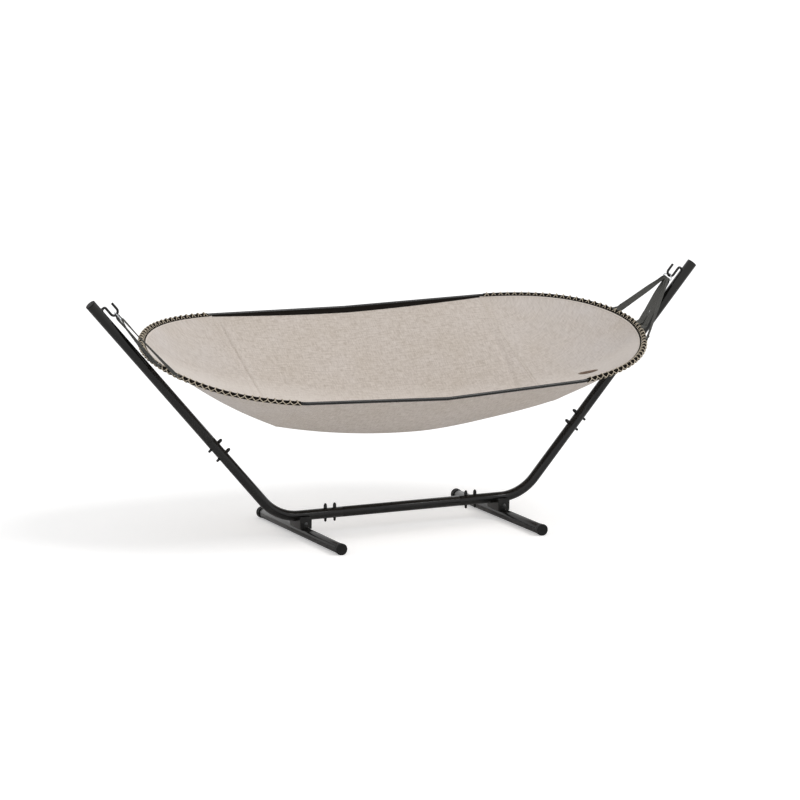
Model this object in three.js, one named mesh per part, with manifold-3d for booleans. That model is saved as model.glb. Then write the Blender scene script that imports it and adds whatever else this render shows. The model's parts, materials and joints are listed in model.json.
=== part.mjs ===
// Hammock bed on a take-down tube stand, in millimetres, +Z up.
// The stand runs along X. Its bed hangs on two hooks and is swung a little towards the front, -Y.
import * as THREE from 'three';
import { mergeVertices } from 'three/addons/utils/BufferGeometryUtils.js';
import Module from 'manifold-3d';

const wasm = await Module();
wasm.setup();

const degrees = (angle) => THREE.MathUtils.degToRad(angle);
const { lerp } = THREE.MathUtils;

// Fits shared by the whole hammock
const SEAT_GAP = 0.3;
const CUT_OVERRUN = 5;
const DOME_STEPS = 2;

// Stand tubes
const TUBE_OD = 50;
const TUBE_WALL = 2;
const TUBE_SIDES = 16;
const BEND_X = 642;
const BEND_RADIUS = 240;
const BEND_STEPS = 6;
const ARM_ANGLE = degrees(49.3);
const ELBOW_BEAM_LEG = 334;
const ELBOW_ARM_LEG = 524;
const BEAM_SPIGOT = 115;
const ARM_SPIGOT = 128;
const SPIGOT_LEAD = 3;
const TUBE_RADIUS = TUBE_OD / 2;
const TUBE_BORE = TUBE_RADIUS - TUBE_WALL;
const SPIGOT_RADIUS = TUBE_BORE - SEAT_GAP;
const SPIGOT_BORE = SPIGOT_RADIUS - TUBE_WALL;

// The arms reach past the bed's ends by the run of its bridles
const RIM_HALF_LENGTH = 1267;
const ARM_PAST_BED = 302.3;
const ARM_RUN = (RIM_HALF_LENGTH + ARM_PAST_BED - BEND_X) / Math.cos(ARM_ANGLE);

// Feet under the beam
const FOOT_INSET = 121;
const FOOT_HALF_LENGTH = 478;
const FOOT_TO_BEAM = 22;
const FOOT_CAP_RADIUS = 28;
const FOOT_CAP_LIP = 1.2;
const FOOT_CAP_SKIRT = 24;
const FOOT_CAP_END = 5;
const FOOT_CAP_FLARE = 16;
const FOOT_CAP_ROUND = 3;
const FOOT_CAP_FLAT = 14;
const FOOT_X = BEND_X - FOOT_INSET;
const FOOT_Z = Math.sqrt(FOOT_CAP_RADIUS ** 2 - (FOOT_CAP_FLAT / 2) ** 2);
const BEAM_Z = FOOT_Z + TUBE_OD + FOOT_TO_BEAM;

// Saddle bracket between foot and beam
const SADDLE_WIDTH = 60;
const SADDLE_DEPTH = 124;
const SADDLE_WALL = 4;
const SADDLE_ABOVE_BEAM = 4;
const SADDLE_ABOVE_FOOT = 17;
const SADDLE_CORNER = 9;
const SADDLE_CORNER_STEPS = 3;
const TIE_RADIUS = 4;
const TIE_HEAD_RADIUS = 8;
const TIE_RIM = 2;
const TIE_DOME = 4;
const TIE_THREAD = 5;
const TIE_SIDES = 12;

// Through bolts of the tube joints
const BOLT_RADIUS = 4;
const BOLT_SIDES = 8;
const BOLT_FROM_SEAM = 38;
const BEAM_BOLT_PITCH = 48;
const ARM_BOLT_PITCH = 62;
const BOLT_CAP_RADIUS = 9;
const BOLT_CAP_STRAIGHT = 10;
const BOLT_CAP_DOME = 13;
const NUT_RADIUS = 6;
const NUT_STRAIGHT = 11;
const NUT_DOME = 5;
const BOLT_END = 7;

// Plug in the open end of each arm
const PLUG_FLANGE = 3;
const PLUG_DOME = 2;
const PLUG_DEPTH = 20;

// Hook rod welded to each arm
const HOOK_ROD = 6;
const HOOK_SIDES = 8;
const HOOK_ROOT = 56;
const HOOK_NECK_RADIUS = 9;
const HOOK_NECK_STEPS = 3;
const HOOK_BACK_OFFSET = 43;
const HOOK_U_RADIUS = 18.5;
const HOOK_U_STEPS = 9;
const HOOK_U_DEPTH = 104;
const HOOK_TIP = 67;

// Rim of the bed, in the bed's own frame with the hook line as its axis
const SWING_AT_REST = degrees(12.3);
const RIM_OD = 16;
const RIM_WALL = 1.5;
const RIM_SIDES = 8;
const RIM_HALF_WIDTH = 608;
const RIM_LENGTH_POWER = 4.5;
const RIM_WIDTH_POWER = 1.83;
const RIM_DROP = 293;
const RIM_END_LIFT = 68;
const RIM_JOINT_X = 736;
const RIM_SPIGOT = 45;
const RIM_END_STEPS = 26;
const RIM_RADIUS = RIM_OD / 2;
const RIM_SPIGOT_RADIUS = RIM_RADIUS - RIM_WALL - SEAT_GAP;

// Cord laced round each end of the rim
const CORD_RADIUS = 2;
const CORD_SIDES = 5;
const CORD_CLEARANCE = 0.4;
const LACE_PITCH = 43;
const LACE_STEPS = 8;
const LACE_REACH = 20;
const LACE_RADIUS = (RIM_RADIUS + CORD_RADIUS + CORD_CLEARANCE) / Math.cos(Math.PI / LACE_STEPS);

// Cloth of the bed, sewn from a middle panel and two end panels
const CLOTH_THICKNESS = 2;
const SEAM_X = 715;
const KEEL_SEAM_ACROSS = -270;
const KEEL_SEAM_DROP = 508;
const KEEL_MID_ACROSS = -236;
const KEEL_MID_DROP = 602;
const KEEL_SEAM_ROUND = 60;
const KEEL_MID_ROUND = 170;
const KEEL_RIGHT_RISE = 15;
const KEEL_RISE_RUN = 450;
const LEG_SAG = 14;
const KEEL_RIM_ACROSS = -200;
const END_SAG = 24;
const BACK_LEG_COLUMNS = 9;
const FRONT_LEG_COLUMNS = 6;
const MIDDLE_ROWS = 12;
const END_ROWS = 4;
const BACK_LEG_SHARE = BACK_LEG_COLUMNS / (BACK_LEG_COLUMNS + FRONT_LEG_COLUMNS);

// Dark hem on the inner face along each rail
const HEM_THICKNESS = 1.6;
const HEM_MID_WIDTH = 30;
const HEM_END_WIDTH = 8;

// Leather patch sewn inside the right end
const PATCH_THICKNESS = 1.6;
const PATCH_LENGTH = 127;
const PATCH_WIDTH = 18;
const PATCH_CLEARANCE = 0.6;
const PATCH_TURN = degrees(48.5);
const PATCH_ALONG_SHARE = 0.455;
const PATCH_ACROSS_SHARE = 0.56;
const PATCH_SIDES = 12;

// Delta ring and webbing bridle at each end
const RING_WIRE = 3;
const RING_SIDES = 6;
const RING_TOP_RADIUS = 12;
const RING_CORNER_RADIUS = 7;
const RING_BAR = 76;
const RING_HEIGHT = 28;
const RING_ARC_STEPS = 5;
const STRAP_RING_WIDTH = 26;
const STRAP_RIM_WIDTH = 48;
const STRAP_THICKNESS = 2;
const STRAP_SPACING = 28;
const BACK_STRAP_ACROSS = [-60, 150];
const FRONT_STRAP_ACROSS = [-125, -250];
const STRAP_CLEARANCE = 0.8;
const STRAP_BAR_STEPS = 6;
const STRAP_LEG_STEPS = 4;
const STRAP_CUFF_STEPS = 3;
const STRAP_CUFF_TO = degrees(-100);

const finish = (color, roughness, metalness) =>
  new THREE.MeshStandardMaterial({ color, roughness, metalness, side: THREE.DoubleSide });
const powderCoat = finish(0x2b2c2c, 0.45, 0.4);
const darkPlastic = finish(0x1b1b1a, 0.55, 0);
const boltCap = finish(0x222222, 0.5, 0.1);
const zincSteel = finish(0x9a9c9e, 0.35, 0.9);
const chrome = finish(0xc4c7ca, 0.15, 1);
const lacingCord = finish(0xcfc4b2, 0.85, 0);
const webbing = finish(0x555552, 0.8, 0);
const linen = finish(0xc8beb6, 0.95, 0);
const hemTape = finish(0x1f1f1f, 0.85, 0);
const leather = finish(0x5d4a3c, 0.7, 0);

// Turn a closed geometry into a solid that can be joined and cut
function toSolid(geometry) {
  const bare = geometry.index ? geometry.toNonIndexed() : geometry.clone();
  bare.deleteAttribute('normal');
  bare.deleteAttribute('uv');
  const merged = mergeVertices(bare);
  return new wasm.Manifold(new wasm.Mesh({
    numProp: 3,
    vertProperties: new Float32Array(merged.attributes.position.array),
    triVerts: new Uint32Array(merged.index.array),
  }));
}

function toGeometry(solid) {
  const mesh = solid.getMesh();
  const geometry = new THREE.BufferGeometry();
  geometry.setAttribute('position', new THREE.BufferAttribute(new Float32Array(mesh.vertProperties), 3));
  geometry.setIndex(new THREE.BufferAttribute(new Uint32Array(mesh.triVerts), 1));
  geometry.computeVertexNormals();
  return geometry;
}

function cut(geometry, ...tools) {
  let solid = toSolid(geometry);
  for (const tool of tools) solid = solid.subtract(toSolid(tool));
  return toGeometry(solid);
}

function join(geometry, ...others) {
  let solid = toSolid(geometry);
  for (const other of others) solid = solid.add(toSolid(other));
  return toGeometry(solid);
}

function part(name, geometry, material) {
  const mesh = new THREE.Mesh(geometry, material);
  mesh.name = name;
  return mesh;
}

// A path that keeps exactly the stations it is given, so a bend gets its steps and a straight gets none
class StationPath extends THREE.Curve {
  constructor(stations) {
    super();
    this.stations = stations;
  }

  getPoint(share, target = new THREE.Vector3()) {
    const last = this.stations.length - 1;
    const place = share * last;
    const index = Math.min(Math.floor(place), last - 1);
    return target.lerpVectors(this.stations[index], this.stations[index + 1], place - index);
  }

  getTangent(share, target = new THREE.Vector3()) {
    const last = this.stations.length - 1;
    const index = Math.round(share * last);
    const here = this.stations[index];
    const before = index > 0 ? here.clone().sub(this.stations[index - 1]).normalize() : new THREE.Vector3();
    const after = index < last ? this.stations[index + 1].clone().sub(here).normalize() : new THREE.Vector3();
    return target.copy(before).add(after).normalize();
  }

  getPointAt(share, target) {
    return this.getPoint(share, target);
  }

  getTangentAt(share, target) {
    return this.getTangent(share, target);
  }

  getSpacedPoints(divisions) {
    return Array.from({ length: divisions + 1 }, (_, index) => this.getPoint(index / divisions));
  }
}

// Round tube or rod along stations, hollow when it has a bore
function tubeAlong(stations, radius, sides, bore = 0) {
  const section = new THREE.Shape().absarc(0, 0, radius, 0, 2 * Math.PI);
  if (bore > 0) section.holes.push(new THREE.Path().absarc(0, 0, bore, 0, 2 * Math.PI));
  return new THREE.ExtrudeGeometry(section, {
    steps: stations.length - 1,
    curveSegments: sides / 2,
    extrudePath: new StationPath(stations),
  });
}

// Solid turned about X from points of (distance along X, radius)
function turned(points, sides) {
  const profile = points.map(([along, radius]) => new THREE.Vector2(radius, along));
  return new THREE.LatheGeometry(profile, sides).rotateZ(-Math.PI / 2);
}

const closedLoop = (points) => [...points, points[0]];

// Quarter-oval end of a turned solid, from its full radius to the axis; a negative height points it down
const dome = (base, height, radius) => stepsBetween(0, Math.PI / 2, DOME_STEPS).map(
  (angle) => [base + height * Math.sin(angle), radius * Math.max(Math.cos(angle), 0)]);

// Drill along Z, through everything at this place along X
function drillZ(x, radius, reach, sides) {
  return new THREE.CylinderGeometry(radius, radius, 2 * reach, sides).rotateX(Math.PI / 2).translate(x, 0, 0);
}

// Points of an arc in the XZ plane
function arcXZ(centreX, centreZ, radius, from, to, steps) {
  return Array.from({ length: steps + 1 }, (_, index) => {
    const angle = lerp(from, to, index / steps);
    return new THREE.Vector3(centreX + radius * Math.cos(angle), 0, centreZ + radius * Math.sin(angle));
  });
}

const boltPlaces = (seam, towards, pitch) => [BOLT_FROM_SEAM, BOLT_FROM_SEAM + pitch].map(
  (distance) => seam + towards * distance);
const boltHoles = (places) => places.map(
  (x) => drillZ(x, BOLT_RADIUS + SEAT_GAP, TUBE_OD, BOLT_SIDES));

// Centre beam: full tube between the elbows, with a reduced spigot in each elbow
function centreBeamGeometry() {
  const seam = BEND_X - ELBOW_BEAM_LEG - SEAT_GAP;
  const end = seam + BEAM_SPIGOT;
  const half = [
    [seam, TUBE_RADIUS],
    [seam, SPIGOT_RADIUS],
    [end - SPIGOT_LEAD, SPIGOT_RADIUS],
    [end, SPIGOT_RADIUS - SPIGOT_LEAD / 2],
    [end, SPIGOT_BORE],
  ];
  const mirrored = half.map(([along, radius]) => [-along, radius]).reverse();
  const tube = turned(closedLoop([...mirrored, ...half]), TUBE_SIDES);
  const places = boltPlaces(seam + SEAT_GAP, 1, BEAM_BOLT_PITCH);
  return cut(tube, ...boltHoles([...places, ...places.map((x) => -x)]));
}

// Elbow: one bent tube, from the beam's seam up to the arm's seam
function elbowGeometry() {
  const tangent = BEND_RADIUS * Math.tan(ARM_ANGLE / 2);
  const seamX = BEND_X - ELBOW_BEAM_LEG;
  const stations = [
    new THREE.Vector3(seamX, 0, 0),
    ...arcXZ(BEND_X - tangent, BEND_RADIUS, BEND_RADIUS, -Math.PI / 2, ARM_ANGLE - Math.PI / 2, BEND_STEPS),
    alongArm(ELBOW_ARM_LEG),
  ];
  const tube = tubeAlong(stations, TUBE_RADIUS, TUBE_SIDES, TUBE_BORE);
  const beamHoles = boltHoles(boltPlaces(seamX, 1, BEAM_BOLT_PITCH));
  const armHoles = boltHoles(boltPlaces(ELBOW_ARM_LEG, -1, ARM_BOLT_PITCH)).map(
    (hole) => hole.rotateY(-ARM_ANGLE).translate(BEND_X, 0, 0));
  return cut(tube, ...beamHoles, ...armHoles);
}

function alongArm(distance) {
  return new THREE.Vector3(BEND_X + distance * Math.cos(ARM_ANGLE), 0, distance * Math.sin(ARM_ANGLE));
}

// Arm: straight tube with its reduced spigot in the elbow, drawn along X from the bend
function armGeometry() {
  const seam = ELBOW_ARM_LEG + SEAT_GAP;
  const end = seam - ARM_SPIGOT;
  const tube = turned(closedLoop([
    [end, SPIGOT_BORE],
    [end, SPIGOT_RADIUS - SPIGOT_LEAD / 2],
    [end + SPIGOT_LEAD, SPIGOT_RADIUS],
    [seam, SPIGOT_RADIUS],
    [seam, TUBE_RADIUS],
    [ARM_RUN, TUBE_RADIUS],
    [ARM_RUN, TUBE_BORE],
    [seam + TUBE_WALL, TUBE_BORE],
    [seam, SPIGOT_BORE],
  ]), TUBE_SIDES);
  return cut(tube, ...boltHoles(boltPlaces(ELBOW_ARM_LEG, -1, ARM_BOLT_PITCH)));
}

// Plug with a thin domed flange, pushed into the arm's open end
function armPlugGeometry() {
  const seat = ARM_RUN + SEAT_GAP;
  const shank = TUBE_BORE - SEAT_GAP;
  return turned([
    [seat - PLUG_DEPTH, 0],
    [seat - PLUG_DEPTH, shank - PLUG_DOME],
    [seat - PLUG_DEPTH + PLUG_DOME, shank],
    [seat, shank],
    [seat, TUBE_RADIUS],
    ...dome(seat + PLUG_FLANGE, PLUG_DOME, TUBE_RADIUS),
  ], TUBE_SIDES);
}

// Hook: a rod from the arm's inner side, over a tight neck and round a deep U, coped to the arm
function hookGeometry() {
  const toX = (fromTip) => ARM_RUN - fromTip;
  const neckZ = HOOK_BACK_OFFSET - HOOK_NECK_RADIUS;
  const neckX = toX(HOOK_ROOT + HOOK_NECK_RADIUS);
  const bottomX = toX(HOOK_U_DEPTH);
  const bottomZ = HOOK_BACK_OFFSET + HOOK_U_RADIUS;
  const stations = [
    new THREE.Vector3(toX(HOOK_ROOT), 0, TUBE_BORE),
    ...arcXZ(neckX, neckZ, HOOK_NECK_RADIUS, 0, Math.PI / 2, HOOK_NECK_STEPS),
    ...arcXZ(bottomX, bottomZ, HOOK_U_RADIUS, -Math.PI / 2, -1.5 * Math.PI, HOOK_U_STEPS),
    new THREE.Vector3(toX(HOOK_TIP), 0, bottomZ + HOOK_U_RADIUS),
  ];
  const arm = turned([[0, 0], [0, 1], [ARM_RUN, 1], [ARM_RUN, 0]].map(
    ([along, share]) => [along, share * (TUBE_RADIUS + SEAT_GAP)]), TUBE_SIDES);
  return cut(tubeAlong(stations, HOOK_ROD, HOOK_SIDES), arm);
}

// Where the ring pulls on the hook, in the XZ plane of the right arm
function hookSeat() {
  const centre = new THREE.Vector3(ARM_RUN - HOOK_U_DEPTH, 0, HOOK_BACK_OFFSET + HOOK_U_RADIUS);
  centre.applyAxisAngle(new THREE.Vector3(0, 1, 0), -ARM_ANGLE);
  centre.add(new THREE.Vector3(BEND_X, 0, BEAM_Z));
  const pull = new THREE.Vector3(RIM_HALF_LENGTH - centre.x, 0, RIM_END_LIFT - RIM_DROP).normalize();
  return { seat: centre.addScaledVector(pull, HOOK_U_RADIUS), pull };
}

const { seat: HOOK_SEAT, pull: RING_PULL } = hookSeat();

// Foot tube along Y and the flared cap over each of its ends
function footGeometry() {
  const end = FOOT_HALF_LENGTH - FOOT_CAP_END - SEAT_GAP;
  const outline = [[-end, TUBE_BORE], [-end, TUBE_RADIUS], [end, TUBE_RADIUS], [end, TUBE_BORE]];
  return turned(closedLoop(outline), TUBE_SIDES).rotateZ(Math.PI / 2);
}

function footCapGeometry() {
  const face = FOOT_HALF_LENGTH;
  const mouth = face - FOOT_CAP_END - FOOT_CAP_SKIRT;
  const bore = TUBE_RADIUS + SEAT_GAP;
  const cap = turned([
    [face - FOOT_CAP_END, 0],
    [face - FOOT_CAP_END, bore],
    [mouth, bore],
    [mouth, bore + FOOT_CAP_LIP],
    [face - FOOT_CAP_FLARE, bore + FOOT_CAP_LIP],
    [face - FOOT_CAP_FLARE / 2, FOOT_CAP_RADIUS],
    [face - FOOT_CAP_ROUND, FOOT_CAP_RADIUS],
    [face, FOOT_CAP_RADIUS - FOOT_CAP_ROUND],
    [face, 0],
  ], TUBE_SIDES);
  const floor = new THREE.BoxGeometry(2 * face, 2 * FOOT_CAP_RADIUS, FOOT_CAP_RADIUS);
  floor.translate(0, 0, -FOOT_Z - FOOT_CAP_RADIUS / 2);
  return cut(cap, floor).rotateZ(Math.PI / 2);
}

// Saddle: an open box of plate, coped over the foot and notched for the beam, drawn about the foot's axis
function saddleGeometry() {
  const half = SADDLE_WIDTH / 2;
  const beam = BEAM_Z - FOOT_Z;
  const top = beam + SADDLE_ABOVE_BEAM;
  const plate = new THREE.Shape();
  plate.moveTo(-half, SADDLE_ABOVE_FOOT);
  plate.lineTo(half, SADDLE_ABOVE_FOOT);
  plate.lineTo(half, top - SADDLE_CORNER);
  plate.absarc(half - SADDLE_CORNER, top - SADDLE_CORNER, SADDLE_CORNER, 0, Math.PI / 2);
  plate.lineTo(SADDLE_CORNER - half, top);
  plate.absarc(SADDLE_CORNER - half, top - SADDLE_CORNER, SADDLE_CORNER, Math.PI / 2, Math.PI);
  const block = new THREE.ExtrudeGeometry(plate, {
    depth: SADDLE_DEPTH,
    bevelEnabled: false,
    curveSegments: SADDLE_CORNER_STEPS,
  });
  block.rotateX(Math.PI / 2).translate(0, SADDLE_DEPTH / 2, 0);
  const walls = 2 * SADDLE_WALL;
  const hollow = new THREE.BoxGeometry(SADDLE_WIDTH - walls, SADDLE_DEPTH - walls, 2 * top);
  hollow.translate(0, 0, top);
  const seat = TUBE_RADIUS + SEAT_GAP;
  const foot = new THREE.CylinderGeometry(seat, seat, SADDLE_DEPTH + CUT_OVERRUN, TUBE_SIDES);
  const notch = new THREE.CylinderGeometry(seat, seat, SADDLE_WIDTH + CUT_OVERRUN, TUBE_SIDES);
  notch.rotateZ(Math.PI / 2).translate(0, 0, beam);
  const mouth = new THREE.BoxGeometry(SADDLE_WIDTH + CUT_OVERRUN, 2 * seat, top);
  mouth.translate(0, 0, beam + top / 2);
  const tieHole = TIE_RADIUS + SEAT_GAP;
  const tie = new THREE.CylinderGeometry(tieHole, tieHole, SADDLE_DEPTH + CUT_OVERRUN, TIE_SIDES);
  tie.translate(0, 0, TIE_Z - FOOT_Z);
  return cut(block, hollow, foot, notch, mouth, tie);
}

const TIE_Z = BEAM_Z - TUBE_RADIUS - SEAT_GAP - TIE_RADIUS;

// Tie bolt through both end plates of a saddle, with its domed nut, drawn along X
function tieBoltGeometry() {
  const face = SADDLE_DEPTH / 2 + SEAT_GAP;
  return turned([
    ...dome(-face - TIE_RIM, -TIE_DOME, TIE_HEAD_RADIUS).reverse(),
    [-face, TIE_HEAD_RADIUS],
    [-face, TIE_RADIUS],
    [face + TIE_THREAD, TIE_RADIUS],
    [face + TIE_THREAD, 0],
  ], TIE_SIDES);
}

function tieNutGeometry() {
  const face = SADDLE_DEPTH / 2 + SEAT_GAP;
  const bore = TIE_RADIUS + SEAT_GAP;
  return turned([
    [face + TIE_THREAD + SEAT_GAP, 0],
    [face + TIE_THREAD + SEAT_GAP, bore],
    [face, bore],
    [face, TIE_HEAD_RADIUS],
    ...dome(face + TIE_THREAD, TIE_DOME, TIE_HEAD_RADIUS),
  ], TIE_SIDES);
}

// Joint bolt with its tall bullet-shaped cap, and the slim cap nut on its far end, drawn along X
function jointBoltGeometry() {
  const face = TUBE_RADIUS + SEAT_GAP;
  return turned([
    [-face - BOLT_END, 0],
    [-face - BOLT_END, BOLT_RADIUS],
    [face, BOLT_RADIUS],
    [face, BOLT_CAP_RADIUS],
    ...dome(face + BOLT_CAP_STRAIGHT, BOLT_CAP_DOME, BOLT_CAP_RADIUS),
  ], BOLT_SIDES);
}

function jointNutGeometry() {
  const face = -TUBE_RADIUS - SEAT_GAP;
  const bore = BOLT_RADIUS + SEAT_GAP;
  return turned([
    ...dome(face - NUT_STRAIGHT, -NUT_DOME, NUT_RADIUS).reverse(),
    [face, NUT_RADIUS],
    [face, bore],
    [face - BOLT_END - SEAT_GAP, bore],
    [face - BOLT_END - SEAT_GAP, 0],
  ], BOLT_SIDES);
}

// Bolt and cap nut at each place along X, standing up along Z
function jointFasteners(names, places) {
  return names.flatMap((name, index) => {
    const pair = [part(`${name}_bolt`, jointBolt, boltCap), part(`${name}_cap_nut`, jointNut, boltCap)];
    for (const mesh of pair) {
      mesh.rotation.y = -Math.PI / 2;
      mesh.position.x = places[index];
    }
    return pair;
  });
}

// The bed's rim as a curve, from joint to joint round each end, with both ends lifted
const rimWidthAt = (x) =>
  RIM_HALF_WIDTH * (1 - (Math.abs(x) / RIM_HALF_LENGTH) ** RIM_LENGTH_POWER) ** (1 / RIM_WIDTH_POWER);
const rimHeightAt = (x) => -RIM_DROP + RIM_END_LIFT * (x / RIM_HALF_LENGTH) ** 2;

// Each side rail is two straight runs with a slight bend in its middle.
// Past the cloth's seams it turns into the line of the rim's ends.
function railPoint(x) {
  if (Math.abs(x) > SEAM_X) return new THREE.Vector2(rimWidthAt(x), rimHeightAt(x));
  const run = Math.abs(x) / SEAM_X;
  const width = lerp(RIM_HALF_WIDTH, rimWidthAt(SEAM_X), run);
  return new THREE.Vector2(width, lerp(-RIM_DROP, rimHeightAt(SEAM_X), run));
}

// End of the rim, from the back joint round to the front joint; side is 1 on the right and -1 on the left
class RimEnd extends THREE.Curve {
  constructor(side, fromX) {
    super();
    this.side = side;
    this.reach = Math.acos((fromX / RIM_HALF_LENGTH) ** (RIM_LENGTH_POWER / 2));
    this.arcLengthDivisions = 600;
  }

  getPoint(share, target = new THREE.Vector3()) {
    const angle = this.reach * (1 - 2 * share);
    const x = this.side * RIM_HALF_LENGTH * Math.cos(angle) ** (2 / RIM_LENGTH_POWER);
    const across = RIM_HALF_WIDTH * Math.sign(angle) * Math.abs(Math.sin(angle)) ** (2 / RIM_WIDTH_POWER);
    return target.set(x, across, rimHeightAt(x));
  }

  // Centre, outward and upward directions and run at a share of the arc
  frameAt(share) {
    const centre = this.getPointAt(share);
    const run = this.getTangentAt(share);
    const outward = new THREE.Vector3(run.y, -run.x, 0).normalize().multiplyScalar(-this.side);
    const up = new THREE.Vector3().crossVectors(run, outward).normalize();
    if (up.z < 0) up.negate();
    return { centre, run, outward, up };
  }

  // Share of the arc at which the rim passes a distance across the bed
  shareAcross(across) {
    let low = 0;
    let high = 1;
    for (let turn = 0; turn < 40; turn += 1) {
      const middle = (low + high) / 2;
      if (this.getPointAt(middle).y > across) low = middle;
      else high = middle;
    }
    return low;
  }
}

function rimEndGeometry(side) {
  const curve = new RimEnd(side, RIM_JOINT_X);
  const station = (share) => curve.getPointAt(share);
  const lead = RIM_RADIUS / curve.getLength();
  const shares = [0, lead, ...stepsBetween(0, 1, RIM_END_STEPS).slice(1, -1), 1 - lead, 1];
  const tube = tubeAlong(shares.map(station), RIM_RADIUS, RIM_SIDES);
  const depth = (RIM_SPIGOT + SEAT_GAP) / curve.getLength();
  const sockets = [[0, depth], [1, 1 - depth]].map(([mouth, floor]) => {
    const inner = station(floor);
    const outer = station(mouth);
    const overrun = outer.clone().sub(inner).setLength(CUT_OVERRUN).add(outer);
    return tubeAlong([overrun, inner], RIM_RADIUS - RIM_WALL, RIM_SIDES);
  });
  return cut(tube, ...sockets);
}

// Side rail with a spigot in each end of the rim; across is 1 at the back and -1 at the front
function railGeometry(across) {
  const station = (x) => new THREE.Vector3(x, across * railPoint(x).x, railPoint(x).y);
  const end = RIM_JOINT_X - SEAT_GAP;
  const stations = [-end, ...stepsBetween(-SEAM_X, SEAM_X, MIDDLE_ROWS), end].map(station);
  const spigots = [-1, 1].map((side) => {
    const curve = new RimEnd(side, RIM_JOINT_X);
    const depth = RIM_SPIGOT / curve.getLength();
    const inner = curve.getPointAt(across > 0 ? depth : 1 - depth);
    return tubeAlong([inner, station(side * end), station(side * SEAM_X)], RIM_SPIGOT_RADIUS, RIM_SIDES);
  });
  return join(tubeAlong(stations, RIM_RADIUS, RIM_SIDES), ...spigots);
}

// One closed skin over rings of points, each ring with the same number of points
function loft(rings, closed = false) {
  const sides = rings[0].length;
  const positions = rings.flat().flatMap((point) => point.toArray());
  const faces = [];
  const corner = (ring, side) => (ring % rings.length) * sides + (side % sides);
  const spans = closed ? rings.length : rings.length - 1;
  for (let ring = 0; ring < spans; ring += 1) {
    for (let side = 0; side < sides; side += 1) {
      const [a, b] = [corner(ring, side), corner(ring, side + 1)];
      const [c, d] = [corner(ring + 1, side + 1), corner(ring + 1, side)];
      faces.push(a, b, c, a, c, d);
    }
  }
  if (!closed) {
    const last = rings.length - 1;
    for (let side = 1; side < sides - 1; side += 1) {
      faces.push(corner(0, 0), corner(0, side + 1), corner(0, side));
      faces.push(corner(last, 0), corner(last, side), corner(last, side + 1));
    }
  }
  const geometry = new THREE.BufferGeometry();
  geometry.setAttribute('position', new THREE.Float32BufferAttribute(positions, 3));
  geometry.setIndex(faces);
  return outwards(geometry);
}

// Turn the faces over if the skin encloses a negative volume
function outwards(geometry) {
  const position = geometry.attributes.position;
  const index = geometry.index.array;
  const [a, b, c] = [new THREE.Vector3(), new THREE.Vector3(), new THREE.Vector3()];
  let volume = 0;
  for (let face = 0; face < index.length; face += 3) {
    a.fromBufferAttribute(position, index[face]);
    b.fromBufferAttribute(position, index[face + 1]);
    c.fromBufferAttribute(position, index[face + 2]);
    volume += a.dot(b.cross(c));
  }
  if (volume < 0) {
    for (let face = 0; face < index.length; face += 3) {
      [index[face + 1], index[face + 2]] = [index[face + 2], index[face + 1]];
    }
  }
  geometry.computeVertexNormals();
  return geometry;
}

// Round section across a cord or wire at one point of its path
function roundSection(centre, tangent, towards, radius, sides) {
  const first = towards.clone().addScaledVector(tangent, -towards.dot(tangent)).normalize();
  const second = new THREE.Vector3().crossVectors(tangent, first);
  return Array.from({ length: sides }, (_, index) => {
    const angle = (2 * Math.PI * index) / sides;
    const point = centre.clone().addScaledVector(first, radius * Math.cos(angle));
    return point.addScaledVector(second, radius * Math.sin(angle));
  });
}

function tangentOf(points, index, closed = false) {
  const last = points.length - 1;
  const after = closed ? points[(index + 1) % points.length] : points[Math.min(index + 1, last)];
  const before = closed ? points[(index + last) % points.length] : points[Math.max(index - 1, 0)];
  return after.clone().sub(before).normalize();
}

// Lacing: one cord wound round the rim's end, reaching in to the edge of the cloth on each turn
function lacingGeometry(side) {
  const curve = new RimEnd(side, RIM_JOINT_X);
  const margin = (2 * CORD_RADIUS) / curve.getLength();
  const curls = Math.round(curve.getLength() / LACE_PITCH);
  const count = curls * LACE_STEPS;
  const turns = stepsBetween(0, 1, count).map((place, step) => {
    const { centre, outward, up } = curve.frameAt(lerp(margin, 1 - margin, place));
    const angle = (2 * Math.PI * step) / LACE_STEPS;
    const reach = Math.cos(angle) > 0 ? LACE_RADIUS : LACE_REACH;
    const radial = outward.multiplyScalar(reach * Math.cos(angle));
    radial.addScaledVector(up, LACE_RADIUS * Math.sin(angle));
    return { point: centre.clone().add(radial), radial };
  });
  const tail = (end, next) => {
    const away = end.point.clone().sub(next.point).setLength(2 * CORD_RADIUS);
    return { point: away.add(end.point), radial: end.radial };
  };
  const path = [tail(turns[0], turns[1]), ...turns, tail(turns.at(-1), turns.at(-2))];
  const points = path.map(({ point }) => point);
  reportLeastGap(side > 0 ? 'right_lacing' : 'left_lacing', points);
  return loft(path.map(({ point, radial }, index) => roundSection(
    point, tangentOf(points, index), radial, CORD_RADIUS, CORD_SIDES)));
}

// Print the least gap of a wound cord to itself, from one turn to the next
function reportLeastGap(name, points) {
  let least = Infinity;
  for (let index = 0; index < points.length; index += 1) {
    for (let other = index + LACE_STEPS / 2; other < points.length; other += 1) {
      least = Math.min(least, points[index].distanceTo(points[other]) - 2 * CORD_RADIUS);
    }
  }
  console.log(`${name}: least gap to itself ${least.toFixed(1)} mm`);
}

// Section of the cloth across the bed at X, from the back rail (share 0) to the front rail (share 1)
const level = new THREE.Vector2(Math.cos(SWING_AT_REST), -Math.sin(SWING_AT_REST));

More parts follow.
